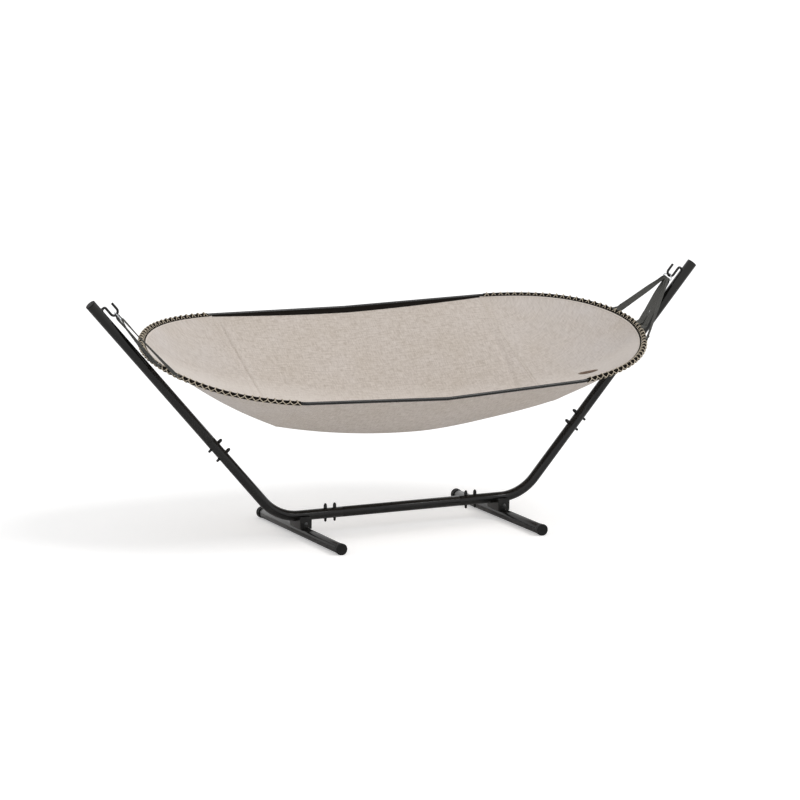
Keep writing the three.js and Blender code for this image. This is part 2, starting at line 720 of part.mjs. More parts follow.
function clothSection(x) {
  const middle = 1 - (x / SEAM_X) ** 2;
  const rise = KEEL_RIGHT_RISE * THREE.MathUtils.smoothstep(x, 0, KEEL_RISE_RUN);
  const keel = new THREE.Vector2(
    lerp(KEEL_SEAM_ACROSS, KEEL_MID_ACROSS, middle), rise - lerp(KEEL_SEAM_DROP, KEEL_MID_DROP, middle));
  const round = lerp(KEEL_SEAM_ROUND, KEEL_MID_ROUND, middle);
  const leg = (across) => {
    const rail = railPoint(x);
    rail.x *= across;
    const towards = keel.clone().sub(rail).normalize();
    const edge = rail.addScaledVector(towards, RIM_RADIUS + SEAT_GAP);
    const chord = keel.clone().sub(edge);
    const shoulder = edge.clone().addScaledVector(chord, 1 / 3);
    shoulder.y -= LEG_SAG;
    const handle = keel.clone().addScaledVector(level, across * round);
    return new THREE.CubicBezierCurve(edge, shoulder, handle, keel);
  };
  return { back: leg(1), front: leg(-1) };
}

function clothPoint(section, x, share) {
  const flat = share <= BACK_LEG_SHARE
    ? section.back.getPoint(share / BACK_LEG_SHARE)
    : section.front.getPoint((1 - share) / (1 - BACK_LEG_SHARE));
  return new THREE.Vector3(x, flat.x, flat.y);
}

// Closed sheet of a given thickness about a grid of points; offset lifts the whole sheet off the grid
function sheetGeometry(grid, thickness, offset, planarRows = []) {
  const rows = grid.length;
  const columns = grid[0].length;
  const normalAt = (row, column) => {
    const along = grid[Math.min(row + 1, rows - 1)][column].clone().sub(grid[Math.max(row - 1, 0)][column]);
    const [before, after] = [Math.max(column - 1, 0), Math.min(column + 1, columns - 1)];
    const across = grid[row][after].clone().sub(grid[row][before]);
    const normal = along.cross(across);
    if (planarRows.includes(row)) normal.x = 0;
    if (normal.z < 0) normal.negate();
    return normal.normalize();
  };
  const layer = (lift) => grid.map((line, row) => line.map(
    (point, column) => point.clone().addScaledVector(normalAt(row, column), lift)));
  const top = layer(offset + thickness / 2);
  const bottom = layer(offset - thickness / 2);
  return loftBetween(top, bottom);
}

// Skin over two facing grids, with its four edges closed
function loftBetween(top, bottom) {
  const rows = top.length;
  const columns = top[0].length;
  const positions = [...top.flat(), ...bottom.flat()].flatMap((point) => point.toArray());
  const corner = (layer, row, column) => layer * rows * columns + row * columns + column;
  const faces = [];
  const quad = (a, b, c, d) => faces.push(a, b, c, a, c, d);
  for (let row = 0; row < rows - 1; row += 1) {
    for (let column = 0; column < columns - 1; column += 1) {
      for (const layer of [0, 1]) {
        const square = [[row, column], [row + 1, column], [row + 1, column + 1], [row, column + 1]].map(
          ([r, c]) => corner(layer, r, c));
        if (layer === 1) square.reverse();
        quad(...square);
      }
    }
  }
  for (let row = 0; row < rows - 1; row += 1) {
    quad(corner(0, row, 0), corner(1, row, 0), corner(1, row + 1, 0), corner(0, row + 1, 0));
    const edge = columns - 1;
    quad(corner(0, row + 1, edge), corner(1, row + 1, edge), corner(1, row, edge), corner(0, row, edge));
  }
  for (let column = 0; column < columns - 1; column += 1) {
    quad(corner(0, 0, column + 1), corner(1, 0, column + 1), corner(1, 0, column), corner(0, 0, column));
    const edge = rows - 1;
    const next = column + 1;
    quad(corner(0, edge, column), corner(1, edge, column), corner(1, edge, next), corner(0, edge, next));
  }
  const geometry = new THREE.BufferGeometry();
  geometry.setAttribute('position', new THREE.Float32BufferAttribute(positions, 3));
  geometry.setIndex(faces);
  return outwards(geometry);
}

const stepsBetween = (from, to, steps) =>
  Array.from({ length: steps + 1 }, (_, index) => lerp(from, to, index / steps));

function middleClothGrid() {
  const columns = BACK_LEG_COLUMNS + FRONT_LEG_COLUMNS;
  return stepsBetween(-SEAM_X, SEAM_X, MIDDLE_ROWS).map((x) => {
    const section = clothSection(x);
    return stepsBetween(0, 1, columns).map((share) => clothPoint(section, x, share));
  });
}

// A point of an end panel: share 0 of its length is the seam, share 1 the laced edge.
// The keel corner of the seam runs out to the rim to the front of the tip.
function endClothPoint(side, curve, alongShare, acrossShare) {
  const seam = clothPoint(clothSection(side * SEAM_X), side * (SEAM_X + SEAT_GAP), acrossShare);
  const keel = curve.shareAcross(KEEL_RIM_ACROSS);
  const rimShare = acrossShare <= BACK_LEG_SHARE
    ? keel * acrossShare / BACK_LEG_SHARE
    : lerp(keel, 1, (acrossShare - BACK_LEG_SHARE) / (1 - BACK_LEG_SHARE));
  const { centre, outward } = curve.frameAt(rimShare);
  const inset = LACE_REACH + CORD_RADIUS + SEAT_GAP;
  const edge = centre.addScaledVector(outward, -inset);
  const reach = seam.distanceTo(edge) / RIM_HALF_WIDTH;
  const point = seam.lerp(edge, alongShare);
  point.z -= END_SAG * Math.sin(Math.PI * alongShare) * Math.min(reach, 1);
  return point;
}

function endClothGrid(side) {
  const curve = new RimEnd(side, RIM_JOINT_X);
  const columns = 2 * (BACK_LEG_COLUMNS + FRONT_LEG_COLUMNS);
  return stepsBetween(0, 1, END_ROWS).map((along) => stepsBetween(0, 1, columns).map(
    (across) => endClothPoint(side, curve, along, across)));
}

// Hem tape on the inner face along a rail, widest at mid-length
function hemGrid(across) {
  return stepsBetween(-SEAM_X, SEAM_X, MIDDLE_ROWS).map((x) => {
    const section = clothSection(x);
    const leg = across > 0 ? section.back : section.front;
    const width = lerp(HEM_END_WIDTH, HEM_MID_WIDTH, 1 - (x / SEAM_X) ** 2);
    const away = leg.getTangent(0).multiplyScalar(width);
    const edge = leg.getPoint(0);
    return [edge, edge.clone().add(away)].map((point) => new THREE.Vector3(x, point.x, point.y));
  });
}

// Oval patch that follows the inner face of the right end panel
function patchGeometry() {
  const grid = endClothGrid(1);
  const spot = (along, across) => {
    const row = Math.min(Math.floor(along), grid.length - 2);
    const column = Math.min(Math.floor(across), grid[0].length - 2);
    const side = (index) => grid[index][column].clone().lerp(grid[index][column + 1], across - column);
    return side(row).lerp(side(row + 1), along - row);
  };
  const along = PATCH_ALONG_SHARE * (grid.length - 1);
  const across = PATCH_ACROSS_SHARE * (grid[0].length - 1);
  const centre = spot(along, across);
  const inwards = spot(along + 1, across).sub(centre);
  const sideways = spot(along, across + 1).sub(centre);
  const normal = sideways.clone().cross(inwards).normalize();
  if (normal.z < 0) normal.negate();
  const outline = new THREE.Vector2();
  const lift = CLOTH_THICKNESS / 2 + PATCH_CLEARANCE;
  const ring = (height) => stepsBetween(0, 2 * Math.PI, PATCH_SIDES).slice(0, -1).map((angle) => {
    outline.set(PATCH_LENGTH / 2 * Math.cos(angle), PATCH_WIDTH / 2 * Math.sin(angle));
    outline.rotateAround(new THREE.Vector2(), PATCH_TURN);
    return spot(along + outline.y / inwards.length(), across + outline.x / sideways.length())
      .addScaledVector(normal, height);
  });
  return loft([ring(lift), ring(lift + PATCH_THICKNESS)]);
}

// Where the ring and its straps lie, in the bed's frame; side is 1 on the right and -1 on the left
function ringFrame(side) {
  const seat = new THREE.Vector3(side * HOOK_SEAT.x, 0, 0);
  const pull = new THREE.Vector3(side * RING_PULL.x, 0, RING_PULL.z);
  const across = new THREE.Vector3(0, 1, 0);
  const inner = new THREE.Vector3().crossVectors(across, pull).multiplyScalar(side);
  if (inner.z < 0) inner.negate();
  return { seat, pull, across, inner };
}

// Delta ring: a closed wire round a small top arc on the hook and two corners of the strap bar
function ringGeometry(side) {
  const { seat, pull, across, inner } = ringFrame(side);
  const top = RING_TOP_RADIUS - RING_WIRE - HOOK_ROD - SEAT_GAP;
  const low = top - RING_TOP_RADIUS + RING_HEIGHT - RING_CORNER_RADIUS;
  const half = RING_BAR / 2 - RING_CORNER_RADIUS;
  const rise = Math.atan2(half, low - top);
  const lean = Math.asin((RING_TOP_RADIUS - RING_CORNER_RADIUS) / Math.hypot(half, low - top));
  const open = Math.PI / 2 + lean - rise;
  const arcs = [
    { down: top, out: 0, radius: RING_TOP_RADIUS, from: -open, to: open },
    { down: low, out: half, radius: RING_CORNER_RADIUS, from: open, to: Math.PI },
    { down: low, out: -half, radius: RING_CORNER_RADIUS, from: Math.PI, to: 2 * Math.PI - open },
  ];
  const points = arcs.flatMap(({ down, out, radius, from, to }) =>
    stepsBetween(from, to, from < 0 ? 2 * RING_ARC_STEPS : RING_ARC_STEPS).map((angle) => seat.clone()
      .addScaledVector(pull, down - radius * Math.cos(angle))
      .addScaledVector(across, out + radius * Math.sin(angle))));
  return loft(points.map((point, index) => roundSection(
    point, tangentOf(points, index, true), inner, RING_WIRE, RING_SIDES)), true);
}

// Strap: webbing from a cuff on the rim up round the ring's bar and down to a second cuff.
// It is gathered at the ring and opens to its full width at the rim.
function strapGeometry(side, across, landings) {
  const curve = new RimEnd(side, RIM_JOINT_X);
  const frame = ringFrame(side);
  const top = RING_TOP_RADIUS - RING_WIRE - HOOK_ROD - SEAT_GAP;
  const barDown = top - RING_TOP_RADIUS + RING_HEIGHT;
  const bar = frame.seat.clone().addScaledVector(frame.pull, barDown);
  bar.addScaledVector(frame.across, across * STRAP_SPACING / 2);
  const wrap = RING_WIRE + STRAP_CLEARANCE + STRAP_THICKNESS / 2;
  // Each cuff starts where the leg from the bar just touches the laced rim, and turns in under it
  const cuff = (distance) => {
    const { centre, run, outward, up } = curve.frameAt(curve.shareAcross(distance));
    const radius = LACE_RADIUS + CORD_RADIUS + STRAP_CLEARANCE + STRAP_THICKNESS / 2;
    const leg = bar.clone().sub(centre);
    const landing = Math.atan2(leg.dot(up), leg.dot(outward)) - Math.PI / 2;
    return stepsBetween(STRAP_CUFF_TO, landing, STRAP_CUFF_STEPS).map((angle) => ({
      point: centre.clone().addScaledVector(outward, radius * Math.cos(angle))
        .addScaledVector(up, radius * Math.sin(angle)),
      width: run.clone().multiplyScalar(Math.sign(run.y)),
      reach: STRAP_RIM_WIDTH / 2,
    }));
  };
  const first = cuff(landings[0]);
  const second = cuff(landings[1]).reverse();
  const turns = stepsBetween(-Math.PI / 2, Math.PI / 2, STRAP_BAR_STEPS).map((angle) => ({
    point: bar.clone().addScaledVector(frame.pull, -wrap * Math.cos(angle))
      .addScaledVector(frame.inner, wrap * Math.sin(angle)),
    width: frame.across.clone(),
    reach: STRAP_RING_WIDTH / 2,
  }));
  const leg = (from, to) => stepsBetween(0, 1, STRAP_LEG_STEPS).slice(1, -1).map((share) => ({
    point: from.point.clone().lerp(to.point, share),
    width: from.width.clone().lerp(to.width, share).normalize(),
    reach: lerp(from.reach, to.reach, share),
  }));
  const down = leg(turns.at(-1), second[0]);
  const stations = [...first, ...leg(first.at(-1), turns[0]), ...turns, ...down, ...second];
  const points = stations.map(({ point }) => point);
  return loft(stations.map(({ point, width, reach }, index) => {
    const tangent = tangentOf(points, index);
    const flat = width.clone().addScaledVector(tangent, -width.dot(tangent)).normalize();
    const thick = new THREE.Vector3().crossVectors(tangent, flat);
    return [[-1, -1], [1, -1], [1, 1], [-1, 1]].map(([w, t]) => point.clone()
      .addScaledVector(flat, w * reach)
      .addScaledVector(thick, t * STRAP_THICKNESS / 2));
  }));
}

function standSide(name, side) {
  const group = new THREE.Group();
  group.rotation.z = side > 0 ? 0 : Math.PI;
  group.position.z = BEAM_Z;
  const arm = new THREE.Group();
  arm.position.x = BEND_X;
  arm.rotation.y = -ARM_ANGLE;
  const armBolts = boltPlaces(ELBOW_ARM_LEG, -1, ARM_BOLT_PITCH);
  const beamBolts = boltPlaces(BEND_X - ELBOW_BEAM_LEG, 1, BEAM_BOLT_PITCH);
  arm.add(
    part(`${name}_arm`, armGeometry(), powderCoat),
    part(`${name}_arm_plug`, toGeometry(toSolid(armPlugGeometry())), darkPlastic),
    part(`${name}_hook`, hookGeometry(), powderCoat),
    ...jointFasteners([`${name}_arm_upper`, `${name}_arm_lower`], armBolts),
  );
  group.add(
    part(`${name}_elbow`, elbowGeometry(), powderCoat),
    ...jointFasteners([`${name}_beam_inner`, `${name}_beam_outer`], beamBolts),
    arm,
  );
  return group;
}

function footSide(name, side) {
  const group = new THREE.Group();
  group.position.set(side * FOOT_X, 0, FOOT_Z);
  const tie = new THREE.Group();
  tie.rotation.z = Math.PI / 2;
  tie.position.z = TIE_Z - FOOT_Z;
  tie.add(
    part(`${name}_saddle_bolt`, toGeometry(toSolid(tieBoltGeometry())), zincSteel),
    part(`${name}_saddle_nut`, toGeometry(toSolid(tieNutGeometry())), zincSteel),
  );
  const frontCap = part(`${name}_front_foot_cap`, footCapGeometry(), darkPlastic);
  frontCap.rotation.z = Math.PI;
  group.add(
    part(`${name}_foot`, toGeometry(toSolid(footGeometry())), powderCoat),
    part(`${name}_back_foot_cap`, footCapGeometry(), darkPlastic),
    frontCap,
    part(`${name}_saddle`, saddleGeometry(), powderCoat),
    tie,
  );
  return group;
}

function bedEnd(name, side) {
  return [
    part(`${name}_rim_end`, rimEndGeometry(side), powderCoat),
    part(`${name}_lacing`, lacingGeometry(side), lacingCord),
    part(`${name}_end_cloth`, sheetGeometry(endClothGrid(side), CLOTH_THICKNESS, 0, [0]), linen),
    part(`${name}_ring`, ringGeometry(side), chrome),
    part(`${name}_back_strap`, strapGeometry(side, 1, BACK_STRAP_ACROSS), webbing),
    part(`${name}_front_strap`, strapGeometry(side, -1, FRONT_STRAP_ACROSS), webbing),
  ];
}

const jointBolt = toGeometry(toSolid(jointBoltGeometry()));
const jointNut = toGeometry(toSolid(jointNutGeometry()));

const beam = part('centre_beam', centreBeamGeometry(), powderCoat);
beam.position.z = BEAM_Z;

const bed = new THREE.Group();
bed.position.z = HOOK_SEAT.z;
bed.rotation.x = SWING_AT_REST;
const hemLift = (CLOTH_THICKNESS + HEM_THICKNESS) / 2 + 2 * SEAT_GAP;
bed.add(
  ...bedEnd('left', -1),
  ...bedEnd('right', 1),
  part('back_rail', railGeometry(1), powderCoat),
  part('front_rail', railGeometry(-1), powderCoat),
  part('middle_cloth', sheetGeometry(middleClothGrid(), CLOTH_THICKNESS, 0, [0, MIDDLE_ROWS]), linen),
  part('back_hem', sheetGeometry(hemGrid(1), HEM_THICKNESS, hemLift, [0, MIDDLE_ROWS]), hemTape),
  part('front_hem', sheetGeometry(hemGrid(-1), HEM_THICKNESS, hemLift, [0, MIDDLE_ROWS]), hemTape),
  part('leather_patch', patchGeometry(), leather),
);

const hammock = new THREE.Group();
hammock.add(
  beam,
  standSide('left', -1),
  standSide('right', 1),
  footSide('left', -1),
  footSide('right', 1),
  bed,
);

// The origin is on the floor, under the middle of the whole hammock
hammock.updateMatrixWorld(true);
const reach = new THREE.Box3().setFromObject(hammock, true);
hammock.position.set(0, -(reach.min.y + reach.max.y) / 2, -reach.min.z);

export default hammock;
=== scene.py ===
# Hammock bed on a take-down tube stand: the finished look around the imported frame, in metres.
import bisect
import json
import math

import bmesh
import bpy
from mathutils import Matrix, Vector


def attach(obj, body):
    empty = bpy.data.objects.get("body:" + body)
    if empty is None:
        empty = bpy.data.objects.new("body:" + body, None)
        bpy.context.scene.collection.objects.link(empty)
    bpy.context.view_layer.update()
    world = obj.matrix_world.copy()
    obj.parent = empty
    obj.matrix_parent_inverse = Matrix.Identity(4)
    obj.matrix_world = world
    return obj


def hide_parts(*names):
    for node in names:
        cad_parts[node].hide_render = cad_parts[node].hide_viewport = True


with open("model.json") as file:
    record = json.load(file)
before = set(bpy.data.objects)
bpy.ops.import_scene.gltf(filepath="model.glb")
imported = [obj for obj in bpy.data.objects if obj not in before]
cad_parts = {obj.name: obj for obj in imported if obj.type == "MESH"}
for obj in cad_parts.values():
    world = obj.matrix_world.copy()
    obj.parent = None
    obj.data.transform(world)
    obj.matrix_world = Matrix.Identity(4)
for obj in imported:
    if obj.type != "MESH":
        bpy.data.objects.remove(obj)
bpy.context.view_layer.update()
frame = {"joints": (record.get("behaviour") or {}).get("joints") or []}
hinge = Vector(frame["joints"][0]["pos_m"])

MM = 0.001

# Photograph's camera
VIEW_TURN = math.radians(24.87)
VIEW_RISE = math.radians(10.22)
VIEW_DISTANCE = 20719 * MM
VIEW_ASIDE = -3 * MM
VIEW_ABOVE = 606 * MM
VIEW_LOWER = 100 * MM
LENS = 194.67
FILM_WIDTH = 36
VIEW_REACH = 200

# Light and floor
SKY_LEVEL = 0.71
SUN_LEVEL = 0.95
SUN_SPREAD = math.radians(24)
SUN_TILT = (math.radians(42), 0, math.radians(48))
FLOOR_REACH = 70
FLOOR_TONE = 0.86
FLOOR_LIFT = 0.36

# Making pieces
JOIN_GAP = 1e-7
SHARP_FROM = math.radians(42)
SHARP_TURN = math.radians(50)
SHEET_TURN = math.radians(60)

# Stand
TUBE_RADIUS = 25 * MM
TUBE_WALL = 2 * MM
TUBE_BORE = TUBE_RADIUS - TUBE_WALL
TUBE_SIDES = 64
TUBE_EDGE = 0.8 * MM
ROD_SIDES = 20
BEND_X = 642 * MM
BEND_RADIUS = 240 * MM
BEND_STEPS = 28
ARM_ANGLE = math.radians(49.3)
RIM_HALF_LENGTH = 1267 * MM
ARM_PAST_BED = 302.3 * MM
ARM_RUN = (RIM_HALF_LENGTH + ARM_PAST_BED - BEND_X) / math.cos(ARM_ANGLE)
ELBOW_BEAM_LEG = 334 * MM
ELBOW_ARM_LEG = 524 * MM
BEAM_SPIGOT = 115 * MM
ARM_SPIGOT = 128 * MM
SEAT_GAP = 0.3 * MM
SPIGOT_RADIUS = TUBE_RADIUS - TUBE_WALL - SEAT_GAP
SPIGOT_BORE = SPIGOT_RADIUS - TUBE_WALL
FOOT_X = BEND_X - 121 * MM
FOOT_HALF_LENGTH = 478 * MM
FOOT_CAP_RADIUS = 28 * MM
FOOT_CAP_END = 5 * MM
FOOT_CAP_SKIRT = 24 * MM
FOOT_CAP_FLAT = 14 * MM
FOOT_Z = math.sqrt(FOOT_CAP_RADIUS ** 2 - (FOOT_CAP_FLAT / 2) ** 2)
BEAM_Z = FOOT_Z + 2 * TUBE_RADIUS + 22 * MM
FOOT_EDGE = 0.4 * MM
FOOT_CAP_WALL = 1.2 * MM
FOOT_CAP_ROUND = 3 * MM
FOOT_CAP_EDGE = 0.35 * MM
FOOT_FLARE_FROM = 16 * MM
FOOT_FLARE = 9 * MM
FOOT_DISH = 0.9 * MM
FOOT_DISH_RIM = 6.5 * MM
SADDLE_WIDTH = 60 * MM
SADDLE_DEPTH = 124 * MM
SADDLE_WALL = 4 * MM
SADDLE_CORNER = 9 * MM
SADDLE_FOOT_GRIP = 17 * MM
SADDLE_BEAM_GRIP = 4 * MM
SADDLE_BEND = 3 * MM
SADDLE_TALL = 20 * MM
SADDLE_EDGE = 0.5 * MM
TIE_RADIUS = 4 * MM
TIE_HEAD_RADIUS = 8 * MM
TIE_Z = BEAM_Z - TUBE_RADIUS - SEAT_GAP - TIE_RADIUS
TIE_PAST = 5 * MM
TIE_HEAD_RIM = 2 * MM
TIE_DOME = 4 * MM
TIE_EDGE = 0.4 * MM
BOLT_FROM_SEAM = 38 * MM
BEAM_BOLT_PITCH = 48 * MM
ARM_BOLT_PITCH = 62 * MM
BOLT_RADIUS = 4 * MM
BOLT_CAP_RADIUS = 9 * MM
BOLT_SIDES = 32
BOLT_EDGE = 0.3 * MM
BOLT_PAST = 7 * MM
BOLT_CAP_RIM = 1.6 * MM
BOLT_CAP_SLOPE = 0.6 * MM
BOLT_CAP_STEP = 0.7 * MM
BOLT_CAP_STEM = 10 * MM
BOLT_CAP_DOME = 13 * MM
NUT_RADIUS = 6 * MM
NUT_FLANGE = 1.4 * MM
NUT_SLOPE = 0.4 * MM
NUT_STEM = 11 * MM
NUT_DOME = 5 * MM
PLUG_SHANK = 20 * MM
PLUG_TAPER = 2 * MM
PLUG_EDGE = 0.6 * MM
PLUG_RIM = 2.2 * MM
PLUG_DOME = 2.6 * MM
HOOK_ROD = 6 * MM
HOOK_ROOT = 56 * MM
HOOK_NECK_RADIUS = 9 * MM
HOOK_BACK_OFFSET = 43 * MM
HOOK_U_RADIUS = 18.5 * MM
HOOK_U_DEPTH = 104 * MM
HOOK_TIP = 67 * MM
HOOK_TIP_ROUND = 2.2 * MM
WELD_BEAD = ((-2, 4.5), (0.4, 4), (2, 2.6), (3.2, 1), (3.8, -0.2), (-2, -0.2))
WELD_RIPPLE = 0.35 * MM
WELD_RIPPLES = 9
WELD_SINK = 0.5 * MM

# Bed, in its own frame with the hinge line as its axis
SWING_AT_REST = math.radians(12.3)
RIM_RADIUS = 8 * MM
RIM_SIDES = 24
RIM_HALF_WIDTH = 608 * MM
RIM_LENGTH_POWER = 4.5
RIM_WIDTH_POWER = 1.83
RIM_DROP = 293 * MM
RIM_END_LIFT = 68 * MM
RIM_JOINT_X = 736 * MM
RIM_SAMPLES = 1200
RIM_PROBE = 0.002
RIM_ROUND = 0.5 * MM
HALVINGS = 40
CORD_RADIUS = 1.7 * MM
CORD_SIDES = 8
LACE_PITCH = 35 * MM
LACE_RADIUS = 11.8 * MM
LACE_OVER = 2.9 * MM
LACE_REACH = 21 * MM
LACE_STEPS = 27
LACE_COURSE = (
    (180, 0), (140, 0.42), (90, 0.5), (25, 0.57), (-18, 1), (-50, 1.13), (-120, 1.05), (-180, 1))
LACE_CROSSINGS = ((90, 65), (-18, 36))
EYELET_SPLIT = 1.9 * MM
EYELET_RADIUS = 4.8 * MM
EYELET_THREAD = 1.1 * MM
SLEEVE_RADIUS = 10 * MM
STITCH_LENGTH = 3.6 * MM
STITCH_PITCH = 5.2 * MM
STITCH_THREAD = 0.5 * MM
STITCHES_AT_ONCE = 40
CLOTH_THICKNESS = 2 * MM
SEAM_X = 715 * MM
KEEL_SEAM = Vector((-270 * MM, -508 * MM))
KEEL_MID = Vector((-236 * MM, -602 * MM))
KEEL_RIGHT_RISE = 15 * MM
KEEL_RISE_RUN = 450 * MM
KEEL_SEAM_ROUND = 60 * MM
KEEL_MID_ROUND = 170 * MM
LEG_SAG = 14 * MM
KEEL_RIM_ACROSS = -200 * MM
END_SAG = 24 * MM
KEEL_SHARE = 0.6
CLOTH_INSET = 15 * MM
HEM_MID_WIDTH = 30 * MM
HEM_END_WIDTH = 8 * MM
HEM_THICKNESS = 1.6 * MM
MIDDLE_ROWS = 480
MIDDLE_COLUMNS = 90
CREASES = (
    ((-692 * MM, 0.09), (-679 * MM, 0.42), -7 * MM, 7 * MM),
    ((-491 * MM, 0.17), (-504 * MM, 0.28), -4 * MM, 10 * MM),
    ((668 * MM, 0.2), (616 * MM, 0.45), -5 * MM, 15 * MM),
)
CREASE_FADE = 0.05
END_ROWS = 36
END_COLUMNS = 160
END_HEM_WIDTH = 14 * MM
END_HEM_THICKNESS = 4 * MM
END_HEM_ROW = 12 * MM
END_HEM_EDGE = 1 * MM
END_HEM_PROBE = 4 * MM
BINDING_WIDTH = 6 * MM
BINDING_PAST_EDGE = 2 * MM
BINDING_THICKNESS = 5.6 * MM
BINDING_EDGE = 0.6 * MM
SEAM_WIDTH = 14 * MM
SEAM_TRIM_SHARE = 0.012
SEAM_THICKNESS = 3 * MM
SEAM_EDGE = 0.8 * MM
SEAM_ROW_ASIDE = 4.6 * MM
HEM_LIFT = 2.2 * MM
HEM_EDGE = 0.3 * MM
HEM_ROW_INSET = 2.6 * MM
HEM_OUTER_WIDTH = 9 * MM
HEM_OUTER_END_WIDTH = 4 * MM
RIM_END_STEPS = 200
RAIL_STEPS = 120
PATCH_LENGTH = 127 * MM
PATCH_WIDTH = 18 * MM
PATCH_THICKNESS = 1.6 * MM
PATCH_LIFT = 2.4 * MM
PATCH_EDGE = 0.5 * MM
PATCH_SIDES = 72
PATCH_RINGS = 6
PATCH_TURN = math.radians(48.5)
PATCH_ALONG_SHARE = 0.455
PATCH_ACROSS_SHARE = 0.56
PATCH_ROW_ENDS = 4 * MM
PATCH_ROW_SIDES = 1.8 * MM
PATCH_STITCH_PITCH = 4.2 * MM
PATCH_STITCH_LENGTH = 2.8 * MM
PATCH_ROW_STEPS = 96
PATCH_PROBE = 0.01
RING_WIRE = 3 * MM
RING_TOP_RADIUS = 12 * MM
RING_CORNER_RADIUS = 7 * MM
RING_BAR = 76 * MM
RING_HEIGHT = 28 * MM
RING_TOP = RING_TOP_RADIUS - RING_WIRE - HOOK_ROD - SEAT_GAP
STRAP_RING_WIDTH = 26 * MM
STRAP_RIM_WIDTH = 48 * MM
STRAP_THICKNESS = 1.8 * MM
STRAP_EDGE = 0.4 * MM
STRAP_COLUMNS = 24
STRAP_FOLDS = 2
STRAP_FOLD_AT_RING = 1.5 * MM
STRAP_FOLD_BELOW = 3.6 * MM
STRAP_FOLD_END = 0.6
STRAP_JOIN = 30 * MM
STRAP_TAIL = 84 * MM
STRAP_LAYER_GAP = 0.4 * MM
STRAP_LEAST_SKEW = 0.4
STRAP_LEG_STEPS = 26
STRAP_LOOP_STEPS = 28
STRAP_TAIL_STEPS = 8
STRAP_BAR_STEPS = 14
STRAP_FOLD_RUN_OUT = 0.04
STRAP_BOX_LOW = 6 * MM
STRAP_BOX_HIGH = 4 * MM
STRAP_BOX_ASIDE = 3 * MM
STRAP_SPACING = 28 * MM
BACK_STRAP_ACROSS = (-60 * MM, 150 * MM)
FRONT_STRAP_ACROSS = (-125 * MM, -250 * MM)
STRAP_CLEARANCE = 0.8 * MM


def srgb(red, green, blue):
    """Colour given as it shows on screen, for a shader"""
    def linear(value):
        value /= 255
        return value / 12.92 if value <= 0.04045 else ((value + 0.055) / 1.055) ** 2.4
    return (linear(red), linear(green), linear(blue), 1)


def mix(start, end, share):
    return start + (end - start) * share


def steps_between(start, end, steps):
    return [mix(start, end, index / steps) for index in range(steps + 1)]


def runs(points):
    """Distance gone along a line at each of its points"""
    gone = [0.0]
    for before, after in zip(points, points[1:]):
        gone.append(gone[-1] + (after - before).length)
    return gone


def put(name, data):
    """Put an object in the scene"""
    holder = bpy.data.objects.new(name, data)
    bpy.context.scene.collection.objects.link(holder)
    return holder


def photograph_camera():
    right = Vector((math.cos(VIEW_TURN), -math.sin(VIEW_TURN), 0))
    ahead = Vector((
        math.sin(VIEW_TURN) * math.cos(VIEW_RISE),
        math.cos(VIEW_TURN) * math.cos(VIEW_RISE),
        -math.sin(VIEW_RISE),
    ))
    up = right.cross(ahead)
    camera = bpy.data.cameras.new("photograph_camera")
    camera.sensor_width = FILM_WIDTH
    camera.lens = LENS
    camera.clip_end = VIEW_REACH
    turn = Matrix((right, up, -ahead)).transposed().to_4x4()
    beam = Vector((0, hinge.y, BEAM_Z - VIEW_LOWER))
    spot = beam + right * VIEW_ASIDE + up * VIEW_ABOVE - ahead * VIEW_DISTANCE
    holder = put("photograph_camera", camera)
    holder.matrix_world = Matrix.Translation(spot) @ turn
    bpy.context.scene.camera = holder


# Materials

class Nodes:
    """Shader nodes of one tree, added one after another"""

    def __init__(self, tree):
        self.tree = tree

    def node(self, kind, settings=None, **inputs):
        node = self.tree.nodes.new("ShaderNode" + kind)
        for key, value in (settings or {}).items():
            setattr(node, key, value)
        for key, value in inputs.items():
            self.feed(node, key.replace("_", " "), value)
        return node

    def feed(self, node, socket, value):
        socket = node.inputs[socket]
        if isinstance(value, bpy.types.NodeSocket):
            self.tree.links.new(value, socket)
        else:
            socket.default_value = value

    def maths(self, operation, first, second=0.0):
        node = self.node("Math", {"operation": operation})
        self.feed(node, 0, first)
        self.feed(node, 1, second)
        return node.outputs[0]

    def spread(self, value, low, high, out_low=0.0, out_high=1.0):
        node = self.node("MapRange")
        for index, number in enumerate((value, low, high, out_low, out_high)):
            self.feed(node, index, number)
        return node.outputs[0]

    def blend(self, share, first, second):
        node = self.node("Mix", {"data_type": "RGBA"})
        for index, value in ((0, share), (6, first), (7, second)):
            self.feed(node, index, value)
        return node.outputs[2]


class Finish(Nodes):
    """A material under way: its nodes end in the shader"""

    def __init__(self, name, colour, roughness, metallic=0, specular=0.5):
        self.material = bpy.data.materials.new(name)
        self.material.use_nodes = True
        super().__init__(self.material.node_tree)
        self.shader = self.tree.nodes["Principled BSDF"]
        self.give(Base_Color=colour, Roughness=roughness, Metallic=metallic, Specular_IOR_Level=specular)

    def give(self, **values):
        for socket, value in values.items():
            self.feed(self.shader, socket.replace("_", " "), value)

    def place(self, scale=(1, 1, 1), own_map=False):
        source = self.node("TexCoord").outputs["UV" if own_map else "Object"]
        return self.node("Mapping", Vector=source, Scale=scale).outputs["Vector"]

    def grain(self, place, scale, detail=2.0, roughness=0.5):
        return self.node(
            "TexNoise", Vector=place, Scale=scale, Detail=detail, Roughness=roughness).outputs["Fac"]

    def stripes(self, place, direction, scale, distortion=0.0):
        settings = {"wave_type": "BANDS", "bands_direction": direction}
        return self.node(
            "TexWave", settings, Vector=place, Scale=scale, Distortion=distortion).outputs["Fac"]

    def bump(self, height, distance, strength):
        bump = self.node("Bump", Height=height, Distance=distance, Strength=strength)
        self.give(Normal=bump.outputs["Normal"])


